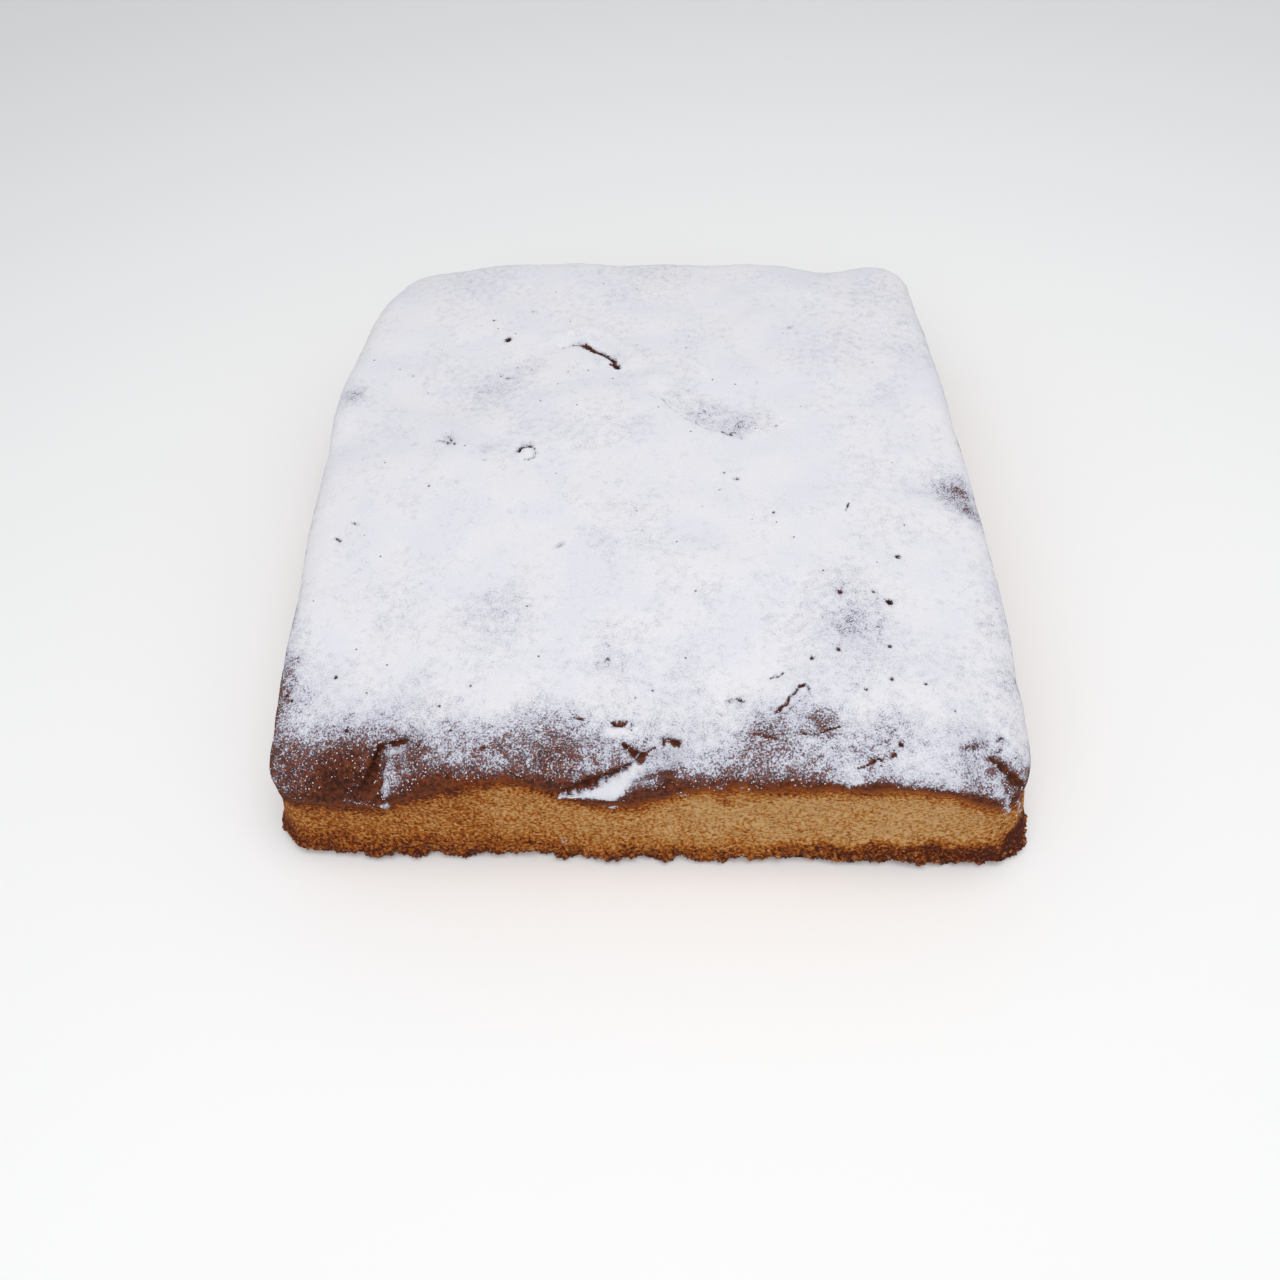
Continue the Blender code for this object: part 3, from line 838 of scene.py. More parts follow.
    def refine(self, mesh: bmesh.types.BMesh) -> None:
        """Halves the edges of faces that are coarser than wanted, a few times over."""
        spacing = self.first_spacing
        layer = mesh.verts.layers.float["s"]
        for _ in range(self.halvings):
            centres = np.array([face.calc_center_median() for face in mesh.faces])
            profile = np.array([sum(vert[layer] for vert in face.verts) / len(face.verts)
                                for face in mesh.faces])
            coarse = self.wanted(centres, profile) < spacing * self.coarse_share
            split = [face for face, is_coarse in zip(mesh.faces, coarse) if is_coarse]
            edges = dict.fromkeys(edge for face in split for edge in face.edges
                                  if edge.calc_length() > spacing * self.halved_share)
            bmesh.ops.subdivide_edges(mesh, edges=list(edges), cuts=1, use_grid_fill=True,
                                      use_single_edge=True)
            put_in_order(mesh)
            self.settle(mesh)
            spacing /= 2

    def dress(self, data: bpy.types.Mesh, grid: Grid) -> None:
        """Moves the skin by its fine relief and stores what the material reads.

        Args:
            data: The mesh on the smooth form.
            grid: The u, v and s of its vertices.
        """
        count = len(data.vertices)
        flat, up = np.empty(count * 3), np.empty(count * 3)
        data.vertices.foreach_get("co", flat)
        data.vertex_normals.foreach_get("vector", up)
        at, normals = flat.reshape(-1, 3), up.reshape(-1, 3)
        x, y, z = at.T
        s = grid[2]
        on_skin = s <= Region.FOOT.value
        on_top = s < HALF_WAY
        wall = smooth(*self.wall_from, s) * on_skin
        front = smooth(*self.front_from, y)
        foot = smooth(*self.foot_from, z) * on_skin
        below = np.where(s > 0, np.maximum(self.form.top_height(x, y) - z, 0), 0)
        patches = self.patchy.at(x, y, z) + self.broad_share * self.broad.at(x, y, z)
        wobble = self.edge_wobble.at(x, y, z) * (self.wobble_on_top - self.calmer_in_front * front)
        cover = self.coat.cover(at, below, patches, wobble, -self.form.half_depth)
        wobble = self.edge_wobble.at(x, y, np.zeros(count))
        crust, toast = self.browning.crust_and_toast(at, below, front, wobble, grid)

        relief = self.powder.at(x, y, z) * (1 - wall)
        grain = self.grain.at(x, y, z * self.grain_squash) * (1 - self.smoother_crust * crust)
        relief += wall * (self.puffs.at(x, y, z * self.puff_squash) + grain)
        relief += foot * self.ragged.at(x, y, z)
        # Painted shade gathered from cracks, folds, the corner hollow and pits, which the material turns near
        # black.
        painted_shade = np.zeros(count)
        fray = np.stack([self.fraying.at(x + shift, y, z) for shift in self.fraying_shifts], axis=1)
        gaps = 1 + self.frayed_gaps * fray[:, 1] / self.fraying.height
        for mark in SPLITS + FOLDS:
            frayed = at + fray * min(1.0, self.frayed_least + self.frayed_by_width * mark.width)
            cover -= mark.bare * mark.weight(frayed) * gaps
            painted_shade += mark.painted_shade * mark.weight(frayed, self.dark_spread)
        for hole_x, hole_y, radius, darkness in PITS:
            away = np.hypot(x / MM - hole_x, y / MM - hole_y) / radius
            weight = np.exp(-away * away) * on_top
            relief -= self.pit_depth * radius * MM * darkness * weight
            cover -= self.pit_loss * darkness * weight
            # Painted shade inside the pit.
            painted_shade += darkness * np.exp(-self.pit_darkness_fade * away * away) * on_top
        cover = np.maximum(cover, self.least_cover)
        for mark in DRIFTS + SPECKS + BLISTERS:
            weight = mark.weight(at + fray, self.heap_spread)
            sugar = mark.sugar + self.heap_patches * patches
            cover = np.maximum(cover, cover * (1 - weight) + sugar * weight)
        for mark in SPLITS + FOLDS + DRIFTS + BLISTERS:
            relief += mark.relief(at, normals)
        relief += self.sugar_height * np.clip(cover, 0, self.thickest_sugar) * (s < self.sugar_down_to)
        grain = self.sugar_grain * self.grain.at(x, y, z) / self.grain.height
        relief += grain * np.clip(cover, 0, 1) * (1 - wall)
        moved = at + normals * (relief * on_skin)[:, None]
        moved[:, 2] = np.where(s > Region.FOOT.value - HALF_WAY, np.maximum(moved[:, 2], 0), moved[:, 2])
        data.vertices.foreach_set("co", moved.ravel())
        least, most = self.clumping_between
        clumps = np.clip(cover * (self.clumping_end - cover) * self.clumping_gain, 0, 1)
        clumps *= (cover > least) & (cover < most)
        lumps = np.clip(cover - 1.0, 0, self.thick_sugar) * self.lumps_on_thick_sugar
        low_down = smooth(*self.crumbling_from, z)
        crumbling = foot * (self.least_crumbling + (1 - self.least_crumbling) * low_down)
        masks = {"cover": cover, "crust": crust, "toast": toast, "painted_shade": np.clip(painted_shade, 0, 1),
                 "clumping": np.clip(clumps + lumps, 0, 1), "crumbling": np.clip(crumbling, 0, 1)}
        for name, values in masks.items():
            data.attributes.new(name, "FLOAT", "POINT").data.foreach_set("value", values)

    def build(self, material: bpy.types.Material) -> Thing:
        """The finished skin as an object.

        Args:
            material: Its finish.

        Returns:
            The object, linked to the scene.
        """
        mesh = self.skeleton()
        self.settle(mesh)
        self.refine(mesh)
        bmesh.ops.recalc_face_normals(mesh, faces=mesh.faces)
        grid = self.read_layers(mesh)
        low, high = (np.array(corner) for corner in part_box(NODE))
        corners = np.array([vert.co for vert in mesh.verts])
        shift = (low + high) / 2 - (corners.min(0) + corners.max(0)) / 2
        LOG.info("moved by %.5f, %.5f to the middle", shift[0], shift[1])
        data = bpy.data.meshes.new("sponge_and_crust")
        mesh.to_mesh(data)
        mesh.free()
        for name in "uvs":
            data.attributes.remove(data.attributes[name])
        self.dress(data, grid)
        data.transform(Matrix.Translation((shift[0], shift[1], 0)))
        data.materials.append(material)
        data.shade_smooth()
        return put_in_scene("sponge_and_crust", data)


class Nodes:
    """Adds nodes to a tree and joins them."""

    def __init__(self, tree: Tree) -> None:
        """Keeps the tree."""
        self.tree = tree

    def feed(self, node: bpy.types.Node, inputs: Inputs) -> None:
        """Sets a node's inputs, by name or number, to values or to the sockets that feed them."""
        for key, value in inputs.items():
            if isinstance(value, Socket):
                self.tree.links.new(value, node.inputs[key])
            else:
                node.inputs[key].default_value = value

    def add(self, kind: str, inputs: Inputs | None = None, **settings: object) -> bpy.types.Node:
        """Adds a node.

        Args:
            kind: The node's type.
            inputs: For an input's name or number, a value or the socket that feeds it.
            **settings: The node's own settings.

        Returns:
            The node.
        """
        node = self.tree.nodes.new(kind)
        for name, value in settings.items():
            setattr(node, name, value)
        self.feed(node, inputs or {})
        return node

    def first(self, kind: str, inputs: Inputs | None = None, **settings: object) -> Socket:
        """The first output of a new node."""
        return self.add(kind, inputs, **settings).outputs[0]

    def math(self, operation: str, first: Input, second: Input, clamp: bool = False) -> Socket:
        """The result of a sum on two values or sockets."""
        return self.first("ShaderNodeMath", {0: first, 1: second}, operation=operation, use_clamp=clamp)

    def plus(self, first: Input, second: Input, clamp: bool = False) -> Socket:
        """The sum of two values."""
        return self.math("ADD", first, second, clamp)

    def times(self, first: Input, second: Input) -> Socket:
        """The product of two values."""
        return self.math("MULTIPLY", first, second)

    def mix(self, share: Input, first: Input, second: Input, blend: str = "MIX") -> Socket:
        """A blend of two colours, given as sockets or as red, green and blue."""
        colours = [(*value, 1) if isinstance(value, tuple) else value for value in (first, second)]
        inputs = {0: share, 6: colours[0], 7: colours[1]}
        return self.add("ShaderNodeMix", inputs, data_type="RGBA", blend_type=blend).outputs[2]

    def ranged(self, value: Input, band: Band, to: Band, kind: str) -> Socket:
        """A value taken from one range to another, and held inside it."""
        inputs = {"Value": value, "From Min": band[0], "From Max": band[1], "To Min": to[0], "To Max": to[1]}
        return self.first("ShaderNodeMapRange", inputs, interpolation_type=kind)

    def step(self, value: Input, band: Band, to: Band = (0.0, 1.0)) -> Socket:
        """A soft step over a band of values."""
        return self.ranged(value, band, to, "SMOOTHSTEP")

    def slope(self, value: Input, band: Band, to: Band = (0.0, 1.0)) -> Socket:
        """A straight slope over a band of values."""
        return self.ranged(value, band, to, "LINEAR")

    def noise(self, place: Input, scale: float, detail: float = 2.0, rough: float = 0.5) -> Socket:
        """Noise from 0 to 1 at a place, with features 1 / scale metres across."""
        inputs = {"Vector": place, "Scale": scale, "Detail": detail, "Roughness": rough}
        return self.first("ShaderNodeTexNoise", inputs, noise_dimensions="3D")

    def scaled(self, vector: Input, scale: Input) -> Socket:
        """A vector made longer or shorter."""
        return self.first("ShaderNodeVectorMath", {0: vector, "Scale": scale}, operation="SCALE")

    def stretched(self, place: Input, scale: Place, shift: Place = (0, 0, 0)) -> Socket:
        """A place stretched along the axes and shifted."""
        return self.first("ShaderNodeMapping", {"Vector": place, "Scale": scale, "Location": shift})

    def ramp(self, value: Input, stops: tuple[tuple[float, Colour], ...]) -> Socket:
        """The colour of a value on a row of stops."""
        node = self.add("ShaderNodeValToRGB", {0: value})
        ramp = node.color_ramp
        while len(ramp.elements) < len(stops):
            ramp.elements.new(1.0)
        for element, (place, colour) in zip(ramp.elements, stops):
            element.position = place
            element.color = (*colour, 1)
        return node.outputs[0]

    def bump(self, height: Input, strength: float) -> Socket:
        """The normal of a relief whose height is in metres."""
        return self.first("ShaderNodeBump", {"Height": height, "Distance": 1.0, "Strength": strength})

    def attribute(self, name: str) -> Socket:
        """One of the mesh's own masks."""
        return self.add("ShaderNodeAttribute", attribute_name=name).outputs["Fac"]

    def object_place(self) -> Socket:
        """The place on the object."""
        return self.add("ShaderNodeTexCoord").outputs["Object"]

    def group(self, tree: Tree, inputs: Inputs) -> bpy.types.NodeOutputs:
        """A shared look placed in this tree, by its outputs."""
        return self.add("ShaderNodeGroup", inputs, node_tree=tree).outputs


class SocketKind(Enum):
    """Kinds of socket on a group."""

    VALUE = "NodeSocketFloat"
    COLOUR = "NodeSocketColor"
    VECTOR = "NodeSocketVector"
    GEOMETRY = "NodeSocketGeometry"
    COUNT = "NodeSocketInt"
    MATERIAL = "NodeSocketMaterial"


Kinds = dict[str, SocketKind]


def new_group(name: str, kind: str, takes: Kinds, gives: Kinds) -> Tree:
    """An empty group with its sockets.

    Args:
        name: The group's name.
        kind: ShaderNodeTree or GeometryNodeTree.
        takes: Names and kinds of the inputs.
        gives: Names and kinds of the outputs.

    Returns:
        The group's tree.
    """
    tree = bpy.data.node_groups.new(name, kind)
    for way, sockets in (("INPUT", takes), ("OUTPUT", gives)):
        for socket, socket_kind in sockets.items():
            tree.interface.new_socket(socket, in_out=way, socket_type=socket_kind.value)
    return tree


LOOK_GIVES = {"Colour": SocketKind.COLOUR, "Height": SocketKind.VALUE}


@dataclass(frozen=True)
class CrumbLook:
    """The shared look of crumb: its colour by how toasted it is, with flecks and pores, and its height."""

    thread_scale: float = 1080.0
    thread_stretch: Place = (1, 1, 1.08)
    pore_scale: float = 520.0
    pore_stretch: Place = (1, 1, 1.5)
    pore_shift: Place = (3, 1, 2)
    pore_shade: Colour = (0.42, 0.17, 0.05)
    cloud_scale: float = 95.0
    cloud_toast: float = 0.13
    fleck_toast: float = 0.46
    thread_height: float = 0.6
    stops: tuple[tuple[float, Colour], ...] = (
        (0.0, (0.60, 0.37, 0.168)), (0.20, (0.50, 0.266, 0.090)), (0.42, (0.43, 0.152, 0.021)),
        (0.66, (0.28, 0.068, 0.009)), (0.84, (0.145, 0.030, 0.008)), (1.0, (0.065, 0.015, 0.008)),
    )

    def tree(self) -> Tree:
        """The look as a group that takes a place, how toasted it is and how strong the flecks are."""
        takes = {"Place": SocketKind.VECTOR, "Toast": SocketKind.VALUE, "Flecks": SocketKind.VALUE}
        nodes = Nodes(new_group("crumb", "ShaderNodeTree", takes, LOOK_GIVES))
        given = nodes.add("NodeGroupInput").outputs
        place = given["Place"]
        threads = nodes.noise(nodes.stretched(place, self.thread_stretch), self.thread_scale, 3, 0.66)
        pores = nodes.stretched(place, self.pore_stretch, self.pore_shift)
        pores = nodes.noise(pores, self.pore_scale, 3, 0.55)
        clouds = nodes.noise(place, self.cloud_scale, 3, 0.5)
        clouding = nodes.slope(clouds, (0.25, 0.75), (-self.cloud_toast, self.cloud_toast))
        flecks = nodes.slope(threads, (0.33, 0.67), (self.fleck_toast, -self.fleck_toast))
        toast = nodes.plus(nodes.plus(given["Toast"], clouding), nodes.times(flecks, given["Flecks"]))
        colour = nodes.ramp(toast, self.stops)
        # Pores darkened with painted shade in their hollows.
        colour = nodes.mix(nodes.step(pores, (0.44, 0.32), (0, 0.5)), colour, self.pore_shade, "MULTIPLY")
        height = nodes.times(threads, self.thread_height)
        height = nodes.plus(height, nodes.step(pores, (0.28, 0.5), (-0.5, 0)))
        nodes.add("NodeGroupOutput", {"Colour": colour, "Height": height})
        return nodes.tree


@dataclass(frozen=True)
class PowderLook:
    """The shared look of powdered sugar: its colour by how thick it lies, and the height of its grain."""

    grain_scale: float = 2300.0
    cloud_scale: float = 45.0
    cool: Colour = (0.785, 0.790, 0.845)
    warm: Colour = (0.830, 0.822, 0.848)
    thin: Colour = (0.700, 0.738, 0.870)
    thinnest: Colour = (0.395, 0.385, 0.448)
    speck_share: float = 0.10

    def tree(self) -> Tree:
        """The look as a group that takes a place and the thickness there."""
        takes = {"Place": SocketKind.VECTOR, "Thickness": SocketKind.VALUE}
        nodes = Nodes(new_group("powder", "ShaderNodeTree", takes, LOOK_GIVES))
        given = nodes.add("NodeGroupInput").outputs
        place, thickness = given["Place"], given["Thickness"]
        fine = nodes.noise(place, self.grain_scale, 3, 0.6)
        broad = nodes.noise(place, self.cloud_scale, 3, 0.55)
        tinted = nodes.mix(nodes.step(broad, (0.35, 0.65)), self.cool, self.warm)
        tinted = nodes.mix(nodes.step(thickness, (0.95, 0.45)), tinted, self.thin)
        specks = nodes.step(fine, (0.60, 0.36))
        thin = nodes.slope(thickness, (0.64, 1.04), (1.0, 0.0))
        thin = nodes.times(thin, nodes.slope(specks, (0, 1), (0.12, 0.85)))
        thin = nodes.plus(thin, nodes.times(specks, self.speck_share))
        nodes.add("NodeGroupOutput", {"Colour": nodes.mix(thin, tinted, self.thinnest), "Height": fine})
        return nodes.tree


@dataclass(frozen=True)
class SharedLooks:
    """The groups that more than one finish uses."""

    crumb: Tree
    powder: Tree


def new_material(name: str, roughness: float) -> tuple[bpy.types.Material, Nodes, bpy.types.Node]:
    """A material with a Principled shader.

    Args:
        name: The material's name.
        roughness: The shader's roughness where nothing feeds it.

    Returns:
        The material, its nodes and the shader.
    """
    material = bpy.data.materials.new(name)
    material.use_nodes = True
    shader = material.node_tree.nodes["Principled BSDF"]
    shader.inputs["Roughness"].default_value = roughness
    return material, Nodes(material.node_tree), shader


@dataclass(frozen=True)
class DustedSpongeFinish:
    """Crumb, browned crust and the sugar that lies on them, told apart by the skin's masks."""

    looks: SharedLooks
    crust_dark: Colour = (0.036, 0.010, 0.007)
    crust_light: Colour = (0.180, 0.046, 0.017)
    crust_edge: Colour = (0.245, 0.062, 0.013)
    bubble_scale: float = 800.0
    ragged_crust: float = 0.36
    pinhole: Colour = (0.20, 0.13, 0.12)
    pinhole_scale: float = 130.0
    pinhole_band: Band = (0.060, 0.022)
    veil: Colour = (0.44, 0.43, 0.56)
    veil_share: float = 0.16
    # Near-black painted shade for cracks, folds, the corner hollow and pits.
    painted_hole_shade: Colour = (0.020, 0.008, 0.006)
    shade_hidden_by_sugar: float = 0.7
    speck_scale: float = 1750.0
    speck_share: float = 0.63
    patch_scale: float = 400.0
    patch_share: float = 0.37
    patch_thickness: Band = (-0.16, 0.18)
    sugar_fade: Band = (-0.13, 0.15)
    crumb_roughness: float = 0.9
    crust_roughness: float = 0.78
    sugar_roughness: float = 0.4
    specular: float = 0.12
    sugar_height: float = 0.00022
    crumb_height: float = 0.00050
    powder_height: float = 0.00010
    crust_height: float = 0.00042
    under_sugar: float = 0.25

    def material(self) -> bpy.types.Material:
        """The finish as a material."""
        material, nodes, shader = new_material("dusted_sponge", self.crumb_roughness)
        place = nodes.object_place()
        cover, crust, toast, painted_shade = (nodes.attribute(name) for name in ("cover", "crust", "toast", "painted_shade"))
        drifts = nodes.slope(nodes.noise(place, self.patch_scale, 3, 0.6), (0.28, 0.72))
        thickness = nodes.math("SUBTRACT", cover, nodes.slope(drifts, (0, 1), self.patch_thickness))
        flecks = nodes.step(crust, (0.0, 0.55), (1.0, 0.45))
        crumb = nodes.group(self.looks.crumb, {"Place": place, "Toast": toast, "Flecks": flecks})
        powder = nodes.group(self.looks.powder, {"Place": place, "Thickness": thickness})

        bubbles = nodes.noise(place, self.bubble_scale, 4, 0.65)
        crust_colour = nodes.mix(nodes.step(bubbles, (0.36, 0.66)), self.crust_dark, self.crust_light)
        crust_colour = nodes.mix(nodes.step(crust, (0.40, 0.95)), self.crust_edge, crust_colour)
        ragged = nodes.slope(bubbles, (0.3, 0.7), (-self.ragged_crust, self.ragged_crust))
        on_crust = nodes.step(nodes.plus(crust, ragged, clamp=True), (0.22, 0.98))
        bare = nodes.mix(on_crust, crumb["Colour"], crust_colour)

        specks = nodes.slope(nodes.noise(place, self.speck_scale, 2.5, 0.7), (0.30, 0.70))
        threshold = nodes.plus(nodes.times(specks, self.speck_share), nodes.times(drifts, self.patch_share))
        sugar = nodes.step(nodes.math("SUBTRACT", cover, threshold), self.sugar_fade)
        veiled = nodes.mix(nodes.step(cover, (0.1, 0.8), (0.0, self.veil_share)), bare, self.veil)
        colour = nodes.mix(sugar, veiled, powder["Colour"])
        # Painted shade: cracks, folds, the hollow and pits go towards near black, less where sugar lies in
        # them.
        open_share = nodes.math("SUBTRACT", 1.0, nodes.times(sugar, self.shade_hidden_by_sugar))
        colour = nodes.mix(nodes.times(painted_shade, open_share), colour, self.painted_hole_shade)
        cells = nodes.first("ShaderNodeTexVoronoi", {"Vector": place, "Scale": self.pinhole_scale})
        colour = nodes.mix(nodes.times(nodes.step(cells, self.pinhole_band), sugar), colour, self.pinhole)

        rough = nodes.slope(on_crust, (0, 1), (self.crumb_roughness, self.crust_roughness))
        rough = nodes.plus(rough, nodes.times(sugar, self.sugar_roughness), clamp=True)
        crumb_relief = nodes.times(crumb["Height"], nodes.slope(on_crust, (0, 1), (self.crumb_height, 0)))
        crust_relief = nodes.times(bubbles, nodes.slope(on_crust, (0, 1), (0, self.crust_height)))
        left = nodes.slope(sugar, (0, 1), (1, self.under_sugar))
        under = nodes.times(nodes.plus(crumb_relief, crust_relief), left)
        grain = nodes.times(nodes.times(sugar, powder["Height"]), self.powder_height)
        over = nodes.plus(nodes.times(sugar, self.sugar_height), grain)
        nodes.feed(shader, {"Base Color": colour, "Roughness": rough, "Specular IOR Level": self.specular,
                            "Normal": nodes.bump(nodes.plus(under, over), 0.9)})
        return material


@dataclass(frozen=True)
class LooseSugarFinish:
    """Clumps of powdered sugar."""

    looks: SharedLooks
    thickness: float = 1.2
    grain_height: float = 0.00008

    def material(self) -> bpy.types.Material:
        """The finish as a material."""
        material, nodes, shader = new_material("loose_sugar", 0.95)
        powder = nodes.group(self.looks.powder, {"Place": nodes.object_place(), "Thickness": self.thickness})
        height = nodes.times(powder["Height"], self.grain_height)
        nodes.feed(shader, {"Base Color": powder["Colour"], "Normal": nodes.bump(height, 0.8)})
        return material


@dataclass(frozen=True)
class LooseCrumbFinish:
    """Toasted crumbs that cling to the foot."""

    looks: SharedLooks
    palest: float = 0.36
    darkest: float = 0.76
    darker_low_down: float = 0.30
    low_down: Band = (0.008, 0.001)
    spread_scale: float = 380.0
    grain_height: float = 0.00030

    def material(self) -> bpy.types.Material:
        """The finish as a material."""
        material, nodes, shader = new_material("loose_crumb", 0.9)
        place = nodes.object_place()
        height = nodes.add("ShaderNodeSeparateXYZ", {0: place}).outputs[2]
        lower = nodes.step(height, self.low_down, (0.0, self.darker_low_down))
        spread = nodes.noise(place, self.spread_scale, 1)
        spread = nodes.slope(spread, (0.3, 0.7), (self.palest, self.darkest))
        toast = nodes.plus(spread, lower)
        crumb = nodes.group(self.looks.crumb, {"Place": place, "Toast": toast, "Flecks": 1.0})
        relief = nodes.times(crumb["Height"], self.grain_height)
        nodes.feed(shader, {"Base Color": crumb["Colour"], "Normal": nodes.bump(relief, 0.8)})
        return material


@dataclass(frozen=True)
class Scatter:
    """Small rough lumps strewn over the skin where one of its masks asks for them."""

    name: str
    mask: str
    per_square_metre: float
    smallest: float
    largest: float
    roughening: float
    rough_scale: float
    sink: float
    seed: int
    subdivisions: int = 1
    rounded: bool = True
    small_ones: float = 2.2
    full_turn: float = 6.28

    def inputs(self, material: bpy.types.Material) -> dict[str, tuple[SocketKind, object]]:
        """The tree's named inputs, each with its kind and value."""
        return {
            "Density": (SocketKind.VALUE, self.per_square_metre),
            "Smallest": (SocketKind.VALUE, self.smallest),
            "Largest": (SocketKind.VALUE, self.largest),
            "Roughening": (SocketKind.VALUE, self.roughening),
            "Rough Scale": (SocketKind.VALUE, self.rough_scale),
            "Sink": (SocketKind.VALUE, self.sink),
            "Seed": (SocketKind.COUNT, self.seed),
            "Material": (SocketKind.MATERIAL, material),
        }

    def tree(self, kinds: Kinds) -> Tree:
        """The node tree that strews the lumps.

        Args:
            kinds: Names and kinds of its inputs, the geometry aside.

        Returns:
            The tree.
        """
        geometry = {"Geometry": SocketKind.GEOMETRY}
        nodes = Nodes(new_group(self.name + "_tree", "GeometryNodeTree", geometry | kinds, geometry))
        given = nodes.add("NodeGroupInput").outputs
        mask = nodes.first("GeometryNodeInputNamedAttribute", {"Name": self.mask}, data_type="FLOAT")
        strewn = nodes.add("GeometryNodeDistributePointsOnFaces", {
            "Mesh": given["Geometry"], "Density": nodes.times(mask, given["Density"]), "Seed": given["Seed"],
        }, distribute_method="RANDOM").outputs
        depth = nodes.times(nodes.times(given["Smallest"], given["Sink"]), -1.0)
        inwards = nodes.scaled(strewn["Normal"], depth)
        points = nodes.first("GeometryNodeSetPosition", {"Geometry": strewn["Points"], "Offset": inwards})
        lump = nodes.first("GeometryNodeMeshIcoSphere", {"Radius": 1.0, "Subdivisions": self.subdivisions})
        turns = {0: (0, 0, 0), 1: (self.full_turn,) * 3, "Seed": given["Seed"]}
        turn = nodes.first("FunctionNodeRandomValue", turns, data_type="FLOAT_VECTOR")
        chances = {2: 0.0, 3: 1.0, "Seed": given["Seed"]}
        chance = nodes.add("FunctionNodeRandomValue", chances, data_type="FLOAT").outputs[1]
        span = nodes.math("SUBTRACT", given["Largest"], given["Smallest"])
        size = nodes.plus(given["Smallest"], nodes.times(nodes.math("POWER", chance, self.small_ones), span))
        lumps = {"Points": points, "Instance": lump, "Rotation": turn, "Scale": size}
        placed = nodes.first("GeometryNodeInstanceOnPoints", lumps)
        real = nodes.first("GeometryNodeRealizeInstances", {0: placed})
        here = nodes.first("GeometryNodeInputPosition")
        fuzziness = {"Vector": here, "Scale": given["Rough Scale"], "Detail": 1.0}
        fuzz = nodes.add("ShaderNodeTexNoise", fuzziness).outputs[1]
        fuzz = nodes.first("ShaderNodeVectorMath", {0: fuzz, 1: (0.5, 0.5, 0.5)}, operation="SUBTRACT")
        offset = nodes.scaled(fuzz, given["Roughening"])
        rough = nodes.first("GeometryNodeSetPosition", {"Geometry": real, "Offset": offset})
        here = nodes.first("GeometryNodeInputPosition")
        split = nodes.add("ShaderNodeSeparateXYZ", {0: here}).outputs
        height = nodes.math("MAXIMUM", split[2], 0.0)
        held = nodes.first("ShaderNodeCombineXYZ", {0: split[0], 1: split[1], 2: height})
        rough = nodes.first("GeometryNodeSetPosition", {"Geometry": rough, "Position": held})
        dressing = {"Geometry": rough, "Material": given["Material"]}
        nodes.add("NodeGroupOutput", {0: nodes.first("GeometryNodeSetMaterial", dressing)})
        return nodes.tree

    def build(self, carrier: Thing, material: bpy.types.Material) -> Thing:
        """The lumps as one plain mesh.

        Args:
            carrier: The skin they lie on.
            material: Their finish.

        Returns:
            The object, linked to the scene.
        """
        piece = put_in_scene(self.name, carrier.data.copy())
        inputs = self.inputs(material)
        modifier = piece.modifiers.new("strewn", "NODES")
        modifier.node_group = self.tree({name: kind for name, (kind, _) in inputs.items()})
        sockets = modifier.node_group.interface.items_tree
        identifiers = {item.name: item.identifier for item in sockets if item.in_out == "INPUT"}
        for name, (_, value) in inputs.items():
            modifier[identifiers[name]] = value
        bpy.context.view_layer.update()
        evaluated = piece.evaluated_get(bpy.context.evaluated_depsgraph_get())
        data = bpy.data.meshes.new_from_object(evaluated)
        piece.modifiers.remove(modifier)
        piece.data = data
        data.name = self.name
        if self.rounded:
            data.shade_smooth()
        else:
            data.shade_flat()
        return piece


@dataclass(frozen=True)
class StudioCamera:
    """The camera, by its place, where it looks and how far it sees to the sides."""

    place: Place = (0.0200, -0.24276, 0.25772)
    pitch: float = 0.90722
    yaw: float = -0.0969
    roll: float = -0.07182
    focal_pixels: float = 966.19
    frame_pixels: float = 1280.0
    sensor_mm: float = 36.0
    nearest: float = 0.01

    def build(self) -> None:
        """Adds the camera and makes it the scene's own."""
        level = Vector((math.cos(self.yaw), -math.sin(self.yaw), 0))
        ahead = Vector((math.sin(self.yaw), math.cos(self.yaw), 0))
        forward = ahead * math.cos(self.pitch) - Vector((0, 0, math.sin(self.pitch)))
        over = level.cross(forward)
        right = level * math.cos(self.roll) + over * math.sin(self.roll)
        up = over * math.cos(self.roll) - level * math.sin(self.roll)
        data = bpy.data.cameras.new("camera")
        data.sensor_width = self.sensor_mm
        data.lens = self.focal_pixels / self.frame_pixels * self.sensor_mm
        data.clip_start = self.nearest
        camera = put_in_scene("camera", data)
        turned = Matrix((right, up, -forward)).transposed().to_4x4()
        camera.matrix_world = Matrix.Translation(self.place) @ turned
        bpy.context.scene.camera = camera


@dataclass(frozen=True)
class SoftBox:
    """A square area light that points at the cake."""

    name: str
    place: Place
    side: float
    watts: float
    colour: Colour = (1.0, 1.0, 1.0)
    target: Place = (0, 0, 0.02)

    def build(self) -> None:
        """Adds the light."""
        data = bpy.data.lights.new(self.name, "AREA")
        data.size, data.energy, data.color = self.side, self.watts, self.colour
        aim = Vector(self.target) - Vector(self.place)
        turned = aim.to_track_quat("-Z", "Y").to_matrix().to_4x4()
        put_in_scene(self.name, data).matrix_world = Matrix.Translation(self.place) @ turned


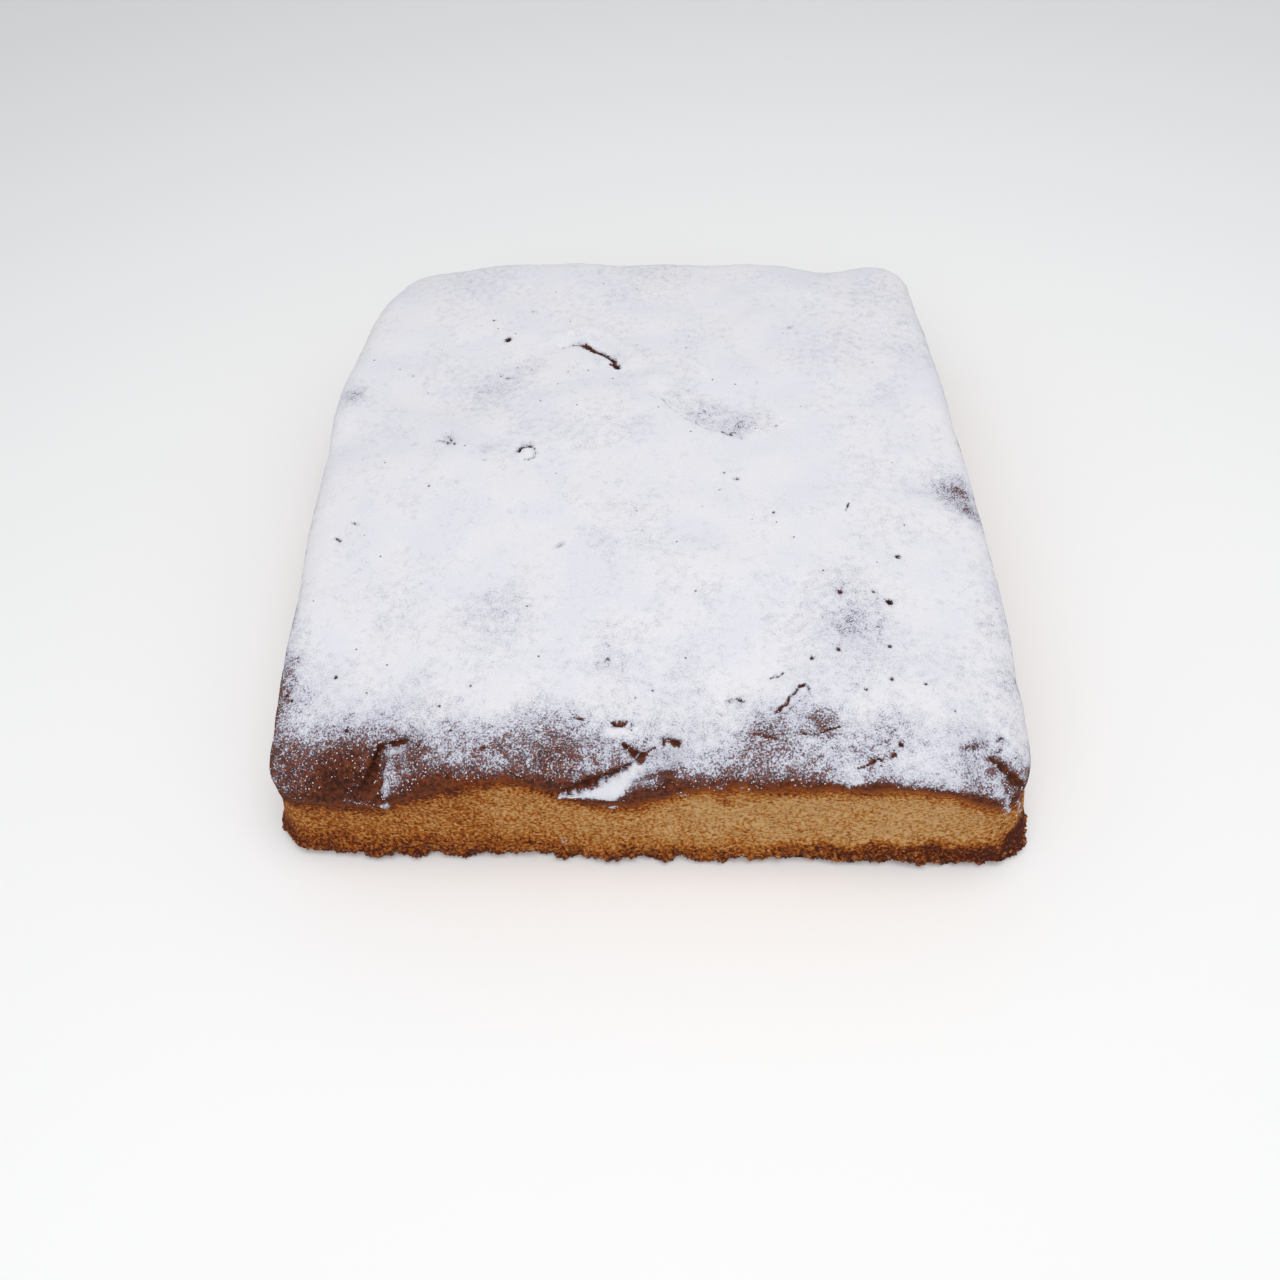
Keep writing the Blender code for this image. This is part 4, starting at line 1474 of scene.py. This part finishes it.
@dataclass(frozen=True)
class Studio:
    """The pale floor, the lights, the sky and the camera."""

    floor_side: float = 6.0
    floor_colour: Colour = (0.97, 0.97, 0.97)
    floor_shade: Colour = (0.88, 0.88, 0.88)
    sky_colour: Colour = (0.96, 0.98, 1.0)
    sky_strength: float = 0.55
    lights: tuple[SoftBox, ...] = (
        SoftBox("key_light", (0.10, -0.12, 0.75), 0.5, 2.3, (1.0, 0.99, 0.98)),
        SoftBox("front_light", (-0.20, -0.62, 0.62), 0.55, 1.25, (1.0, 0.98, 0.96)),
    )
    camera: StudioCamera = StudioCamera()

    def floor(self) -> Thing:
        """The floor as an object with its own finish."""
        mesh = bmesh.new()
        bmesh.ops.create_grid(mesh, x_segments=2, y_segments=2, size=self.floor_side / 2)
        data = bpy.data.meshes.new("floor")
        mesh.to_mesh(data)
        mesh.free()
        material, nodes, shader = new_material("floor_paint", 0.7)
        shade = nodes.step(nodes.noise(nodes.object_place(), 3, 2), (0.3, 0.7), (0.985, 1.0))
        nodes.feed(shader, {"Base Color": nodes.mix(shade, self.floor_shade, self.floor_colour)})
        data.materials.append(material)
        return put_in_scene("floor", data)

    def sky(self) -> None:
        """Even light from all round."""
        world = bpy.data.worlds.new("sky")
        world.use_nodes = True
        background = world.node_tree.nodes["Background"]
        background.inputs["Color"].default_value = (*self.sky_colour, 1)
        background.inputs["Strength"].default_value = self.sky_strength
        bpy.context.scene.world = world

    def build(self) -> None:
        """Sets the studio up."""
        self.floor()
        self.sky()
        for light in self.lights:
            light.build()
        self.camera.build()
        bpy.context.scene.view_settings.view_transform = "Standard"
        bpy.context.scene.view_settings.look = "None"


def report(piece: Thing) -> None:
    """Logs a piece's size in triangles."""
    piece.data.calc_loop_triangles()
    LOG.info("%s: %d triangles", piece.name, len(piece.data.loop_triangles))


def main() -> None:
    """Builds the cake's pieces in order."""
    logging.basicConfig(level=logging.INFO, format="%(message)s")
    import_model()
    looks = SharedLooks(CrumbLook().tree(), PowderLook().tree())
    body = SpongeBody(CakeForm()).build(DustedSpongeFinish(looks).material())
    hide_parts(NODE)
    clumps = Scatter("sugar_clumps", "clumping", 0.62e6, 0.00010, 0.00026, 0.00018, 2400.0, 0.3, 11)
    crumbs = Scatter("foot_crumbs", "crumbling", 1.0e6, 0.00025, 0.00105, 0.00150, 1300.0, 0.4, 23,
                     rounded=False)
    pieces = [
        body,
        clumps.build(body, LooseSugarFinish(looks).material()),
        crumbs.build(body, LooseCrumbFinish(looks).material()),
    ]
    for piece in pieces:
        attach(piece, BODY)
        report(piece)
    Studio().build()


if __name__ == "__main__":
    main()
